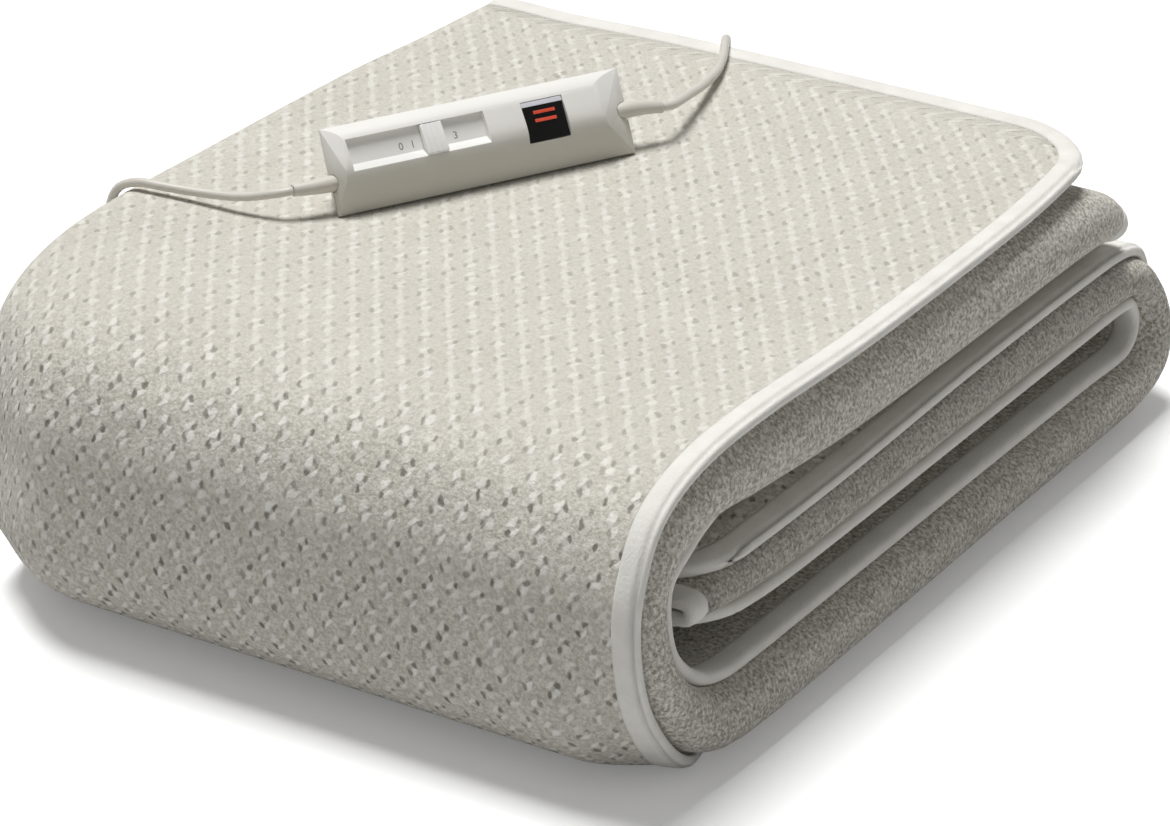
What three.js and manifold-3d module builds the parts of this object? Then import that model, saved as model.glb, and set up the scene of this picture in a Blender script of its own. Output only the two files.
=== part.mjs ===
// Heated mattress pad, folded for storage, with its slide controller, leads and mains plug.
//
// Millimetres, +Z up, the pad lying on z = 0 with its origin at the bottom centre. The sheet is first
// folded back and forth into four panels (a strip as wide as the pack), and the strip is then
// roll-folded in three legs: top leg, front bend (-Y), bottom leg, back bend (+Y), middle leg.

import * as THREE from 'three';
import { mergeVertices } from 'three/addons/utils/BufferGeometryUtils.js';
import loadManifold from 'manifold-3d';

const manifoldLibrary = await loadManifold();
manifoldLibrary.setup();
const { Manifold, Mesh } = manifoldLibrary;

// ---------------------------------------------------------------- driving dimensions

const GAP = 0.3;

const cloth = {
  thickness: 4.5,
  layerPitch: 6.1, // between the middle surfaces of two layers that lie on each other
  cornerRadius: 30,
  restHeight: 2.25, // middle surface of the layer that lies on the floor
};

const binding = { width: 12, edgeRound: 1.2 };

const controller = {
  cornerX: -86, // front left corner of the base, on the pad's top
  cornerY: -74.4,
  lift: 149.9, // height of the base above the floor
  turnDegrees: 60.5,
  length: 152,
  baseDepth: 22,
  topDepth: 18.7, // the top edge lies this far behind the front foot
  height: 35.4,
  backInset: 7.2, // slant of the ends' back corners
};

// The front's outline, as [rise up the line from foot to top edge, distance out of that line].
const frontOutline = {
  belly: [12, 7.5],
  browControl: [17.2, 10.5],
  brow: [23.2, 9.2],
  shoulder: [32, 7.3],
  ridgeControl: [35.2, 6.6],
  ridge: [38, 3.2],
};
// How far each slanted end cuts the front back at its brow and at its ridge.
const startInset = { brow: 5, ridge: 7 };
const endInset = { brow: 17, ridge: 16.7 };
const insetAt = { brow: [17.2, 10.3], ridge: [34.4, 6.5] };

// Outlines of the slider's scooped slot and of its knob, drawn like the front's.
const slot = {
  start: 8.4,
  end: 77.6,
  outline: [[17.9, 9.75], [21.4, 6.2], [32.9, 5], [33.1, 14], [17.9, 14]],
};
const knob = {
  length: 10.6,
  centre: 50.8,
  outline: [[18.15, 10], [21.75, 6.5], [32.5, 5.35], [32.6, 7.7], [24, 9.65], [19, 10.55]],
};
const display = { start: 96.6, width: 21.3, low: 14, high: 32.6, outLow: 8.6, outHigh: 7, glassDepth: 1.2 };
const displayBar = { length: 11, width: 1.5, height: 0.5, pitch: 3.8, rise: 25.4 };

const padLead = { diameter: 4.2, coilRadius: 23, coilColumns: 1, coilLayers: 2, coilX: -140, coilY: 279 };
const mainsLead = { diameter: 4.4, coilRadius: 22, coilColumns: 3, coilLayers: 4, coilX: -28.6, coilY: 290 };
const boot = { length: 24, inside: 6, rootRadius: 3.9, tipWall: 0.7 };
const padSocket = { width: 32, length: 24, height: 9, tilt: 38, x: -85, y: 214.8, z: 92.4 };
const plug = { width: 35, height: 14, length: 36, x: 24, y: 301, turnDegrees: -14 };
const plugPin = { radius: 2, length: 19, root: 6, pitch: 19 };
// Where each lead leaves the housing, up the line from foot to top edge, and how far the strain
// relief's tip is bent aside and down by its lead.
const padExit = { rise: 0.38, aside: -2.2, down: 0.4 };
const mainsExit = { rise: 0.5, aside: -1, down: 1.8 };

// ---------------------------------------------------------------- the folded strip

// One row for each station along the strip, from the top flap to the end inside the front bend.
// outer: middle surface of panel 1. inner: middle surface of panel 4. edge1 and edge4: how far the two
// bound edges reach to +X. right and left: where the folds turn. lift: how far panel 1 stands off the
// others. droop: how far its bound edge falls below the rest of it.
const stationColumns = [
  'outerY', 'outerZ', 'innerY', 'innerZ', 'edge1', 'edge4', 'right', 'left', 'lift', 'droop',
];
const stationRows = [
  [206, 104, 186, 98, 155, 146, 171, -164, 42, 0],
  [192, 123, 171, 99.5, 160, 146, 175, -169, 23.5, 0],
  [164, 136.5, 150, 100, 167.5, 146, 178, -173, 10, 0],
  [124, 143, 118, 99.5, 173, 146, 179, -177, 3, -1],
  [64, 145.5, 64, 99, 176.5, 147, 179, -183, 0.5, -1.5],
  [-54, 146, -54, 99, 177.5, 149, 178, -187, 0, -1.5],
  [-144, 149, -134, 104, 177, 158, 177, -184, 0, -1],
  [-194, 147, -179, 115, 177, 166, 177, -180, 0, 0],
  [-226.5, 135.5, -202, 114, 177.5, 172, 177, -179, 0, 0],
  [-242, 113, -213, 99, 178, 173.5, 177, -181, 0, 0],
  [-245, 88, -214.5, 80, 177.5, 174, 178, -183, 0, 0],
  [-236.5, 56, -208, 62, 176.5, 174.5, 180, -184, 0, 0],
  [-217, 27, -191, 46.5, 175, 175, 182, -184, 0, 0],
  [-191, 6.5, -172, 39.8, 171.5, 175.5, 184, -185, 0, 0],
  [-156, 2.25, -144, 38.6, 165, 176, 185, -185, 0, 0],
  [-54, 2.25, -54, 38.5, 161, 176, 185, -185, 0, 0],
  [66, 2.25, 66, 38.5, 161, 176, 184, -185, 0, 0],
  [156, 2.25, 156, 38, 161, 176, 184, -184, 0, 0],
  [206, 3.5, 195, 36.5, 161, 175.5, 183, -182, 0, 0],
  [238, 14, 208, 40, 161, 175, 182, -180, 0, 0],
  [246, 37, 212.5, 49, 163, 174.5, 180, -179, 0, 0],
  [235, 65, 208.5, 57.5, 167, 174.5, 178, -180, 0, 0],
  [209, 86, 199, 61.3, 172, 174.5, 177, -182, 0.5, 1],
  [156, 90.5, 148, 61, 173.5, 174, 176, -184, 2, 2],
  [46, 90.5, 46, 61, 173.5, 174, 175.5, -184, 2, 2],
  [-54, 90, -54, 61, 173.5, 174, 175.5, -184, 2.5, 4.5],
  [-134, 89, -134, 62, 173, 173.5, 175, -183, 2, 3.5],
  [-197, 88, -197, 64, 171, 171, 171, -181, 0, 0],
];
const lastStation = stationRows.length - 1;

// Where end 1 of the sheet lies, in stations, across the four panels (0 to 7 in fold units).
const endOneKnots = [
  { across: 0, station: 1 },
  { across: 0.7, station: 1 },
  { across: 1, station: 1.3 },
  { across: 2, station: 1.1 },
  { across: 2.7, station: 0.25 },
  { across: 7, station: 0.2 },
];

const mix = (a, b, t) => a + (b - a) * t;
const clamp01 = (t) => Math.min(1, Math.max(0, t));
const ease = (t) => clamp01(t) ** 2 * (3 - 2 * clamp01(t));

function catmullRom(a, b, c, d, t) {
  const slopeB = (c - a) / 2;
  const slopeC = (d - b) / 2;
  const t2 = t * t;
  const t3 = t2 * t;
  return (2 * t3 - 3 * t2 + 1) * b + (t3 - 2 * t2 + t) * slopeB + (3 * t2 - 2 * t3) * c + (t3 - t2) * slopeC;
}

function stationAt(position) {
  const index = Math.min(lastStation - 1, Math.max(0, Math.floor(position)));
  const t = position - index;
  const row = (i) => stationRows[Math.min(lastStation, Math.max(0, i))];
  const values = stationColumns.map((name, k) => [
    name,
    catmullRom(row(index - 1)[k], row(index)[k], row(index + 1)[k], row(index + 2)[k], t),
  ]);
  const station = Object.fromEntries(values);
  station.depth = Math.hypot(station.innerY - station.outerY, station.innerZ - station.outerZ);
  return station;
}

// Depths of the layers below panel 1, at the left folds and at the right fold, and the fold sizes.
function folds(station) {
  const { depth, left, right } = station;
  const secondLeft = (depth - cloth.layerPitch) / 2;
  const leftRadius = secondLeft / 2;
  const rightRadius = depth / 2 - cloth.layerPitch;
  const bulge = Math.min(rightRadius, 16);
  return {
    secondLeft,
    thirdLeft: (depth + cloth.layerPitch) / 2,
    secondRight: cloth.layerPitch,
    thirdRight: depth - cloth.layerPitch,
    leftRadius,
    rightRadius,
    bulge,
    leftX: left + leftRadius,
    rightX: right - bulge,
  };
}

// x and depth of the sheet's middle surface. across runs 0-1 over panel 1, 1-2 round the first left
// fold, 2-3 over panel 2, 3-4 round the right fold, 4-5, 5-6 and 6-7 likewise to panel 4's edge.
function sectionAt(station, across) {
  const f = folds(station);
  const leg = Math.min(6, Math.floor(across));
  const t = across - leg;
  const turn = Math.PI * t;
  switch (leg) {
    case 0:
      return { x: mix(station.edge1, f.leftX, t), depth: 0 };
    case 1:
      return { x: f.leftX - f.leftRadius * Math.sin(turn), depth: f.leftRadius * (1 - Math.cos(turn)) };
    case 2:
      return { x: mix(f.leftX, f.rightX, t), depth: mix(f.secondLeft, f.secondRight, ease(t)) };
    case 3:
      return {
        x: f.rightX + f.bulge * Math.sin(turn),
        depth: f.secondRight + f.rightRadius * (1 - Math.cos(turn)),
      };
    case 4:
      return { x: mix(f.rightX, f.leftX, t), depth: mix(f.thirdRight, f.thirdLeft, ease(t)) };
    case 5:
      return {
        x: f.leftX - f.leftRadius * Math.sin(turn),
        depth: f.thirdLeft + f.leftRadius * (1 - Math.cos(turn)),
      };
    default:
      return { x: mix(f.leftX, station.edge4, t), depth: station.depth };
  }
}

// The pack isn't a true block: its top is crowned, the folds on its left puff it up, its front belly
// hangs forward in the middle, and its front left corner is drawn back, most of all at the top.
const settle = { crown: 0.005, puff: 0.016, belly: 0.1, backHigh: 0.15, backLow: 0.08 };
const settleReach = { halfWidth: 187, floorZone: 6, lowFrom: 88, lowOver: 74, frontOver: 120 };
const leftZone = { puffFrom: -120, puffOver: 50, backFrom: -120, backOver: 75 };
const bellyZone = { right: 178, rightOver: 45, left: -210, leftOver: 75 };
const droopWidth = 24;
const standOffEnd = { across: 2.6, over: 1.6 }; // panel 1's stand-off dies out round the left fold

function settled(x, y, z) {
  const crown = settle.crown * (1 - (x / settleReach.halfWidth) ** 2);
  const puff = settle.puff * ease((leftZone.puffFrom - x) / leftZone.puffOver);
  const height = z + Math.max(0, z - settleReach.floorZone) * (crown + puff);
  const low = ease((settleReach.lowFrom - z) / settleReach.lowOver);
  const fromRight = ease((bellyZone.right - x) / bellyZone.rightOver);
  const fromLeft = ease((x - bellyZone.left) / bellyZone.leftOver);
  const belly = settle.belly * low * fromRight * fromLeft;
  const drawnBack = ease((leftZone.backFrom - x) / leftZone.backOver);
  const back = mix(settle.backHigh, settle.backLow, low) * drawnBack;
  const reach = y < 0 ? y * (1 + (belly - back) * ease(-y / settleReach.frontOver)) : y;
  return new THREE.Vector3(x, reach, Math.max(height, cloth.restHeight));
}

function padPoint(position, column) {
  const station = stationAt(position);
  const across = column(station);
  const { x, depth } = sectionAt(station, across);
  const inward = depth / station.depth;
  const standOff = station.lift * ease((standOffEnd.across - across) / standOffEnd.over);
  const inset = across * panelWidth(station, station.edge1);
  const droop = across < 1 ? station.droop * (1 - ease(inset / droopWidth)) : 0;
  const y = mix(station.outerY, station.innerY, inward);
  const z = mix(station.outerZ, station.innerZ, inward) + standOff - droop;
  return settled(x, y, z);
}

// Columns say where on the sheet's width a point is: a fixed share across the folds, or a fixed
// distance in from one of the two free edges.
const panelWidth = (station, edge) => edge - folds(station).leftX;
const share = (value) => () => value;
const fromEdge1 = (inset) => (station) => inset / panelWidth(station, station.edge1);
const fromEdge4 = (inset) => (station) => 7 - inset / panelWidth(station, station.edge4);

function surfaceNormal(position, column) {
  const step = 0.02;
  const aside = (offset) => (station) => column(station) + offset;
  const along = padPoint(position + step, column).sub(padPoint(position - step, column));
  const over = padPoint(position, aside(step / 4)).sub(padPoint(position, aside(-step / 4)));
  return along.cross(over).normalize();
}

function endOneAt(across) {
  const knot = endOneKnots.findIndex((k) => k.across >= across);
  const after = endOneKnots[Math.max(1, knot)];
  const before = endOneKnots[Math.max(1, knot) - 1];
  const between = clamp01((across - before.across) / (after.across - before.across));
  return mix(before.station, after.station, between);
}

// Station that lies a given distance in from end 1 or end 2, measured along the cloth.
function stationFromEnd(column, end, distance) {
  const inward = end === 1 ? 1 : -1;
  const steps = 6;
  let position = end === 1 ? endOneAt(column(stationAt(1))) : lastStation;
  for (let i = 0; i < steps; i += 1) {
    const ahead = padPoint(position + inward * 0.05, column);
    const speed = ahead.distanceTo(padPoint(position, column)) / 0.05;
    position += (inward * distance) / steps / speed;
  }
  return position;
}

function closedMesh(rings, capped) {
  const perRing = rings[0].length;
  const positions = rings.flat().flatMap((p) => [p.x, p.y, p.z]);
  const index = [];
  const quad = (a, b, c, d) => index.push(a, b, c, a, c, d);
  const ringCount = capped ? rings.length - 1 : rings.length;
  for (let i = 0; i < ringCount; i += 1) {
    const next = (i + 1) % rings.length;
    for (let j = 0; j < perRing; j += 1) {
      const k = (j + 1) % perRing;
      quad(i * perRing + j, next * perRing + j, next * perRing + k, i * perRing + k);
    }
  }
  if (capped) {
    const last = (rings.length - 1) * perRing;
    const half = perRing / 2;
    for (let j = 0; j < half - 1; j += 1) {
      quad(j, j + 1, perRing - 2 - j, perRing - 1 - j);
      quad(last + perRing - 1 - j, last + perRing - 2 - j, last + j + 1, last + j);
    }
  }
  const geometry = new THREE.BufferGeometry();
  geometry.setAttribute('position', new THREE.Float32BufferAttribute(positions, 3));
  geometry.setIndex(index);
  return outward(geometry);
}

function outward(geometry) {
  const p = geometry.attributes.position;
  const corners = geometry.index.array;
  const [a, b, c] = [new THREE.Vector3(), new THREE.Vector3(), new THREE.Vector3()];
  let volume = 0;
  for (let i = 0; i < corners.length; i += 3) {
    a.fromBufferAttribute(p, corners[i]);
    b.fromBufferAttribute(p, corners[i + 1]);
    c.fromBufferAttribute(p, corners[i + 2]);
    volume += a.dot(b.cross(c));
  }
  if (volume < 0) {
    geometry.setIndex(Array.from(corners).reverse());
  }
  geometry.computeVertexNormals();
  return geometry;
}

// Stations between the ends: one a row on the straight legs, two a row round the bends.
function innerStations() {
  const isBend = (row) => (row >= 6 && row < 14) || (row >= 17 && row < 23);
  const stations = [];
  for (let row = 4; row < lastStation - 1; row += 1) {
    stations.push(row);
    if (isBend(row)) {
      stations.push(row + 0.5);
    }
  }
  stations.push(lastStation - 1);
  return stations;
}

function stationsBetweenEnds(column, distance) {
  const start = stationFromEnd(column, 1, distance);
  const stop = stationFromEnd(column, 2, distance);
  const middle = innerStations();
  return [
    ...[0, 1, 2, 3].map((i) => mix(start, middle[0], i / 4)),
    ...middle,
    mix(middle[middle.length - 1], stop, 0.5),
    stop,
  ];
}

const seam = binding.width + GAP; // where the cloth proper starts, in from the sheet's edge
const cornerCentre = seam + cloth.cornerRadius;
const cornerAngles = [0, 1, 2, 3, 4].map((i) => (i * Math.PI) / 8);
const cornerInsets = cornerAngles.map((a) => cornerCentre - cloth.cornerRadius * Math.cos(a));
const cornerEnds = cornerAngles.map((a) => cornerCentre - cloth.cornerRadius * Math.sin(a));

function spread(from, to, count) {
  return Array.from({ length: count }, (_, i) => mix(from, to, (i + 1) / count));
}

const middleShares = [
  ...spread(0.2, 1, 3),
  ...spread(1, 2, 5),
  ...spread(2, 3, 3),
  ...spread(3, 4, 6),
  ...spread(4, 5, 3),
  ...spread(5, 6, 5),
  ...spread(6, 6.8, 2),
];

function padCloth() {
  const columns = [
    ...cornerInsets.map((inset, i) => ({ at: fromEdge1(inset), end: cornerEnds[i] })),
    ...middleShares.map((value) => ({ at: share(value), end: seam })),
    ...cornerInsets.map((inset, i) => ({ at: fromEdge4(inset), end: cornerEnds[i] })).reverse(),
  ];
  const lines = columns.map(({ at, end }) => stationsBetweenEnds(at, end));
  const half = cloth.thickness / 2;
  const rings = lines[0].map((_, i) => {
    const faces = columns.map(({ at }, j) => {
      const point = padPoint(lines[j][i], at);
      const normal = surfaceNormal(lines[j][i], at);
      return [point.clone().addScaledVector(normal, half), point.addScaledVector(normal, -half)];
    });
    return [...faces.map((pair) => pair[0]), ...faces.map((pair) => pair[1]).reverse()];
  });
  return closedMesh(rings, true);
}

// The tape that binds the sheet all round: one closed ring, along both long edges, round the four
// corners and over the two folded ends.
function padBinding() {
  const half = cloth.thickness / 2;
  const profile = [
    [binding.width, half],
    [binding.edgeRound, half],
    [0, half - binding.edgeRound],
    [0, binding.edgeRound - half],
    [binding.edgeRound, -half],
    [binding.width, -half],
  ];
  const atSide = (fromEdge) => (position) => (inset) => ({ column: fromEdge(inset), position });
  const atCorner = (fromEdge, end, angle) => (inset) => {
    const radius = cornerCentre - inset;
    const column = fromEdge(cornerCentre - radius * Math.cos(angle));
    return { column, position: stationFromEnd(column, end, cornerCentre - radius * Math.sin(angle)) };
  };
  const atEnd = (end) => (value) => (inset) => {
    const column = share(value);
    return { column, position: stationFromEnd(column, end, inset) };
  };
  const side = (fromEdge) => stationsBetweenEnds(fromEdge(seam), cornerCentre).slice(1, -1);
  const corner = (fromEdge, end) => cornerAngles.map((angle) => atCorner(fromEdge, end, angle));
  const stops = [
    ...side(fromEdge1).map(atSide(fromEdge1)),
    ...corner(fromEdge1, 2),
    ...middleShares.map(atEnd(2)),
    ...corner(fromEdge4, 2).reverse(),
    ...side(fromEdge4).reverse().map(atSide(fromEdge4)),
    ...corner(fromEdge4, 1),
    ...[...middleShares].reverse().map(atEnd(1)),
    ...corner(fromEdge1, 1).reverse(),
  ];
  const rings = stops.map((stop) =>
    profile.map(([inset, offset]) => {
      const { column, position } = stop(inset);
      return padPoint(position, column).addScaledVector(surfaceNormal(position, column), offset);
    }),
  );
  return closedMesh(rings, false);
}

// ---------------------------------------------------------------- solids and booleans

function manifoldOf(geometry) {
  const bare = new THREE.BufferGeometry();
  bare.setAttribute('position', geometry.attributes.position);
  if (geometry.index) {
    bare.setIndex(geometry.index);
  }
  const merged = mergeVertices(bare, 1e-4);
  return new Manifold(
    new Mesh({
      numProp: 3,
      vertProperties: new Float32Array(merged.attributes.position.array),
      triVerts: new Uint32Array(merged.index.array),
    }),
  );
}

function geometryOf(body) {
  const mesh = body.getMesh();
  const geometry = new THREE.BufferGeometry();
  geometry.setAttribute('position', new THREE.BufferAttribute(mesh.vertProperties, 3));
  geometry.setIndex(new THREE.BufferAttribute(mesh.triVerts, 1));
  geometry.computeVertexNormals();
  return geometry;
}

// Turns a shape drawn in (y, z) and extruded along its normal into one that runs along +X.
const alongX = new THREE.Matrix4().makeBasis(
  new THREE.Vector3(0, 1, 0),
  new THREE.Vector3(0, 0, 1),
  new THREE.Vector3(1, 0, 0),
);

function prism(shape, from, to, curveSegments = 10) {
  const geometry = new THREE.ExtrudeGeometry(shape, { depth: to - from, bevelEnabled: false, curveSegments });
  geometry.translate(0, 0, from);
  geometry.applyMatrix4(alongX);
  return geometry;
}

function turned(profile, segments = 24) {
  const points = profile.map(([radius, height]) => new THREE.Vector2(radius, height));
  return new THREE.LatheGeometry(points, segments);
}

// ---------------------------------------------------------------- controller

// Local frame: x along the housing, y to its back, z up from its base. The front leans back from the
// foot to the top edge; "face" coordinates run up that front and out of it.
const lean = Math.hypot(controller.topDepth, controller.height);
const upFace = { y: controller.topDepth / lean, z: controller.height / lean };
const outFace = { y: -upFace.z, z: upFace.y };
const facePoint = (along, out) => ({
  y: along * lean * upFace.y + out * outFace.y,
  z: along * lean * upFace.z + out * outFace.z,
});

// Everything past a flat end that is cut back by a share of the distance out, and by another share of
// the way down from the top edge.
function endPlane(atStart, perOut, perDown) {
  const reach = 20;
  const past = 60;
  const sign = atStart ? 1 : -1;
  const at = atStart ? 0 : controller.length;
  const corners = [-0.3, 1.3].flatMap((along) =>
    [0, reach].flatMap((out) => {
      const point = facePoint(along, out);
      const inset = perOut * out + perDown * (1 - along);
      return [
        [at + sign * inset, point.y, point.z],
        [at - sign * past, point.y, point.z],
      ];
    }),
  );
  return Manifold.hull(corners);
}

// Each end is two flats that meet on a line from the top edge to the brow.
function endCutter(atStart, inset) {
  const [browRise, browOut] = insetAt.brow;
  const [ridgeRise, ridgeOut] = insetAt.ridge;
  const browDown = 1 - browRise / lean;
  const ridgeDown = 1 - ridgeRise / lean;
  const cross = browOut * ridgeDown - ridgeOut * browDown;
  const perOut = (inset.brow * ridgeDown - inset.ridge * browDown) / cross;
  const perDown = (browOut * inset.ridge - ridgeOut * inset.brow) / cross;
  return endPlane(atStart, inset.brow / browOut, 0).add(endPlane(atStart, perOut, perDown));
}

function outlinePoint([rise, out]) {
  const point = facePoint(rise / lean, out);
  return [point.y, point.z];
}

function frontCover() {
  const shape = new THREE.Shape();
  const { belly, browControl, brow, shoulder, ridgeControl, ridge } = frontOutline;
  shape.moveTo(...outlinePoint([0, GAP / 2]));
  shape.lineTo(...outlinePoint(belly));
  shape.quadraticCurveTo(...outlinePoint(browControl), ...outlinePoint(brow));
  shape.lineTo(...outlinePoint(shoulder));
  shape.quadraticCurveTo(...outlinePoint(ridgeControl), ...outlinePoint(ridge));
  shape.lineTo(...outlinePoint([lean, GAP / 2]));
  shape.closePath();
  const block = manifoldOf(prism(shape, 0, controller.length));
  const floorCut = Manifold.cube([400, 60, 30], true).translate([controller.length / 2, 0, -15]);
  return block
    .subtract(endCutter(true, startInset))
    .subtract(endCutter(false, endInset))
    .subtract(floorCut);
}

// A bar along the housing whose section is a convex outline on the front.
function faceBar(from, to, outline) {
  return Manifold.hull([from, to].flatMap((x) => outline.map((corner) => [x, ...outlinePoint(corner)])));
}

// How far out the display's flat front lies at a rise.
function displayOut(rise) {
  const upward = (rise - display.low) / (display.high - display.low);
  return mix(display.outLow, display.outHigh, upward);
}

function boreFor(exit, atStart) {
  const radius = boot.rootRadius + GAP;
  const depth = 20 + boot.inside + GAP;
  const bore = turned([
    [0, 0],
    [radius, 0],
    [radius, depth],
    [0, depth],
  ]).rotateZ(-Math.PI / 2);
  const axis = facePoint(exit.rise, 0);
  const x = atStart ? -20 : controller.length - boot.inside - GAP;
  return manifoldOf(bore).translate([x, axis.y, axis.z]);
}

function controllerParts() {
  const bores = [boreFor(padExit, true), boreFor(mainsExit, false)];
  const { low, high, glassDepth } = display;
  const displayEnd = display.start + display.width;
  const layer = (from, to, depth, top) => [
    [from, displayOut(from) - depth],
    [to, displayOut(to) - depth],
    [to, displayOut(to) - depth + top],
    [from, displayOut(from) - depth + top],
  ];
  const aboveFront = 10;
  const slotCut = faceBar(slot.start, slot.end, slot.outline);
  const windowCut = faceBar(
    display.start,
    displayEnd,
    layer(low - GAP, high + GAP, glassDepth + GAP, aboveFront),
  );
  let cover = frontCover().subtract(slotCut).subtract(windowCut);
  const inset = controller.backInset;
  const foot = facePoint(0, -GAP / 2);
  const top = facePoint(1, -GAP / 2);
  let shell = Manifold.hull([
    [0, foot.y, 0],
    [controller.length, foot.y, 0],
    [0, top.y, top.z],
    [controller.length, top.y, top.z],
    [inset, controller.baseDepth, 0],
    [controller.length - inset, controller.baseDepth, 0],
    [inset, controller.baseDepth, controller.height * 0.8],
    [controller.length - inset, controller.baseDepth, controller.height * 0.8],
  ]);
  bores.forEach((bore) => {
    cover = cover.subtract(bore);
    shell = shell.subtract(bore);
  });
  const glass = faceBar(display.start + GAP, displayEnd - GAP, layer(low, high, glassDepth, glassDepth));
  const barStart = display.start + (display.width - displayBar.length) / 2;
  const bars = [1, -1].map((side) => {
    const middle = displayBar.rise + (side * displayBar.pitch) / 2;
    const half = displayBar.width / 2;
    const outline = layer(middle - half, middle + half, -GAP, displayBar.height);
    return faceBar(barStart, barStart + displayBar.length, outline);
  });
  return { cover, shell, glass, bars };
}

// The knob runs in the slot and stands just proud of the front.
function sliderKnob() {
  return faceBar(knob.centre - knob.length / 2, knob.centre + knob.length / 2, knob.outline);
}

// A tapered strain relief along +X from its root at the origin, its free part bent by the lead.
function strainRelief(leadRadius, exit) {
  const tip = leadRadius + boot.tipWall;
  const free = boot.length - boot.inside;
  const profile = [[0, 0], [boot.rootRadius, 0]];
  for (let i = 0; i <= 6; i += 1) {
    profile.push([mix(boot.rootRadius, tip, i / 6), boot.inside + (free * i) / 6]);
  }
  profile.push([0, boot.length]);
  const relief = turned(profile).rotateZ(-Math.PI / 2);
  const points = relief.attributes.position;
  for (let i = 0; i < points.count; i += 1) {
    const bend = (Math.max(0, points.getX(i) - boot.inside) / free) ** 2;
    points.setY(i, points.getY(i) + exit.aside * bend);
    points.setZ(i, points.getZ(i) - exit.down * bend);
  }
  return relief;
}

// ---------------------------------------------------------------- leads, coils, plug

const vectors = (rows) => rows.map(([x, y, z]) => new THREE.Vector3(x, y, z));

function tube(route, diameter, steps) {
  const section = new THREE.Shape();
  const sides = 8;
  for (let i = 0; i < sides; i += 1) {
    const angle = (2 * Math.PI * i) / sides;
    const method = i === 0 ? 'moveTo' : 'lineTo';
    section[method]((Math.cos(angle) * diameter) / 2, (Math.sin(angle) * diameter) / 2);
  }
  section.closePath();
  const extrudePath = new THREE.CatmullRomCurve3(vectors(route));
  return new THREE.ExtrudeGeometry(section, { steps, extrudePath, curveSegments: 1, bevelEnabled: false });
}

// The outer shape of a wound coil: columns of turns side by side, layers of turns on each other.
function coilRing(lead) {
  const halfWidth = (lead.coilColumns * lead.diameter) / 2 + 0.4;
  const height = lead.coilLayers * lead.diameter + 0.4;
  const inner = lead.coilRadius - halfWidth;
  const outer = lead.coilRadius + halfWidth;
  const ring = turned([[inner, 0], [outer, 0], [outer, height], [inner, height], [inner, 0]], 36);
  return ring.rotateX(Math.PI / 2).translate(lead.coilX, lead.coilY, 0.05);
}

// Route points chosen by hand. The pad lead leaves the controller, crosses the pad's top, comes down
// its left side and runs along the floor to its coil behind the pad; its tail climbs the back bend to
// the socket on the sheet's end.
const padLeadRoute = [
  [-103.2, -85.9, 162.95],
  [-104.1, -87.3, 162.9],
  [-107.4, -89.4, 162.2],
  [-112.6, -91.2, 160.9],
  [-120, -93, 159],
  [-129, -94.6, 157.4],
  [-141, -96.6, 156.6],
  [-153, -99.2, 156.6],
  [-165, -101.9, 157],
  [-175.8, -103.5, 156.8],
  [-185.2, -104.8, 152.8],
  [-190, -105.6, 144],
  [-191.8, -105.8, 130],
  [-191.8, -105, 112],
  [-191.8, -103, 88],
  [-191.8, -100.5, 62],
  [-191.8, -97.5, 38],
  [-192, -92.5, 19],
  [-192.5, -83, 7],
  [-193, -69, 2.6],
  [-194, -45, 2.2],
  [-194.5, 0, 2.2],
  [-194.5, 60, 2.2],
  [-194.5, 120, 2.2],
  [-194.5, 175, 2.2],
  [-194, 215, 2.2],
  [-189.5, 237, 2.2],
  [-179, 251, 2.2],
  [-166, 256, 2.2],
  [-155.6, 256, 2.2],
];
const padTailRoute = [
  [-124.4, 256, 6.4],
  [-112, 255.4, 6.4],
  [-101, 254.4, 9.5],
  [-92.5, 253.4, 19],
  [-88, 252.8, 33],
  [-86, 251.6, 47],
  [-85.2, 245.6, 59.4],
  [-85, 239, 70],
  [-85, 231.8, 79.1],
  [-85, 224.55, 84.75],
];

// The mains lead leaves the other end, crosses the top, goes over the flap's far edge and down the
// back bend to its coil; its tail ends in the plug.
const mainsLeadRoute = [
  [-9.3, 78.1, 165.8],
  [-8.6, 79.5, 165.7],
  [-7.9, 83.6, 164.9],
  [-8.8, 90, 163.7],
  [-10.6, 99, 162.2],
  [-13.2, 110, 160.2],
  [-15.6, 120.8, 158.2],
  [-18.6, 132.6, 156.2],
  [-21.7, 143.7, 154.8],
  [-25, 154.4, 153.7],
  [-29.3, 165.3, 153.1],
  [-34.3, 176, 152.9],
  [-39.4, 185.6, 153.3],
  [-43.6, 193.6, 152.2],
  [-47.7, 201.2, 147.2],
  [-50.6, 206.2, 138],
  [-52.2, 209, 126],
  [-53.2, 211.4, 113],
  [-53.8, 216.5, 100],
  [-54.2, 225, 88.4],
  [-54.6, 235, 77.6],
  [-55, 243.8, 65.6],
  [-55, 249.4, 52],
  [-55, 251.6, 38],
  [-55, 253.4, 24],
  [-55, 258, 11.5],
  [-55, 265.4, 4],
  [-55, 273.5, 2.3],
];
const mainsTailRoute = [
  [-11.4, 316.2, 15.6],
  [-4, 314.6, 14.4],
  [5, 310.6, 11.6],
  [13, 305.4, 8.6],
  [20.6, 301.9, 7.1],
  [23.6, 301.1, 7.05],
];

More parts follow.
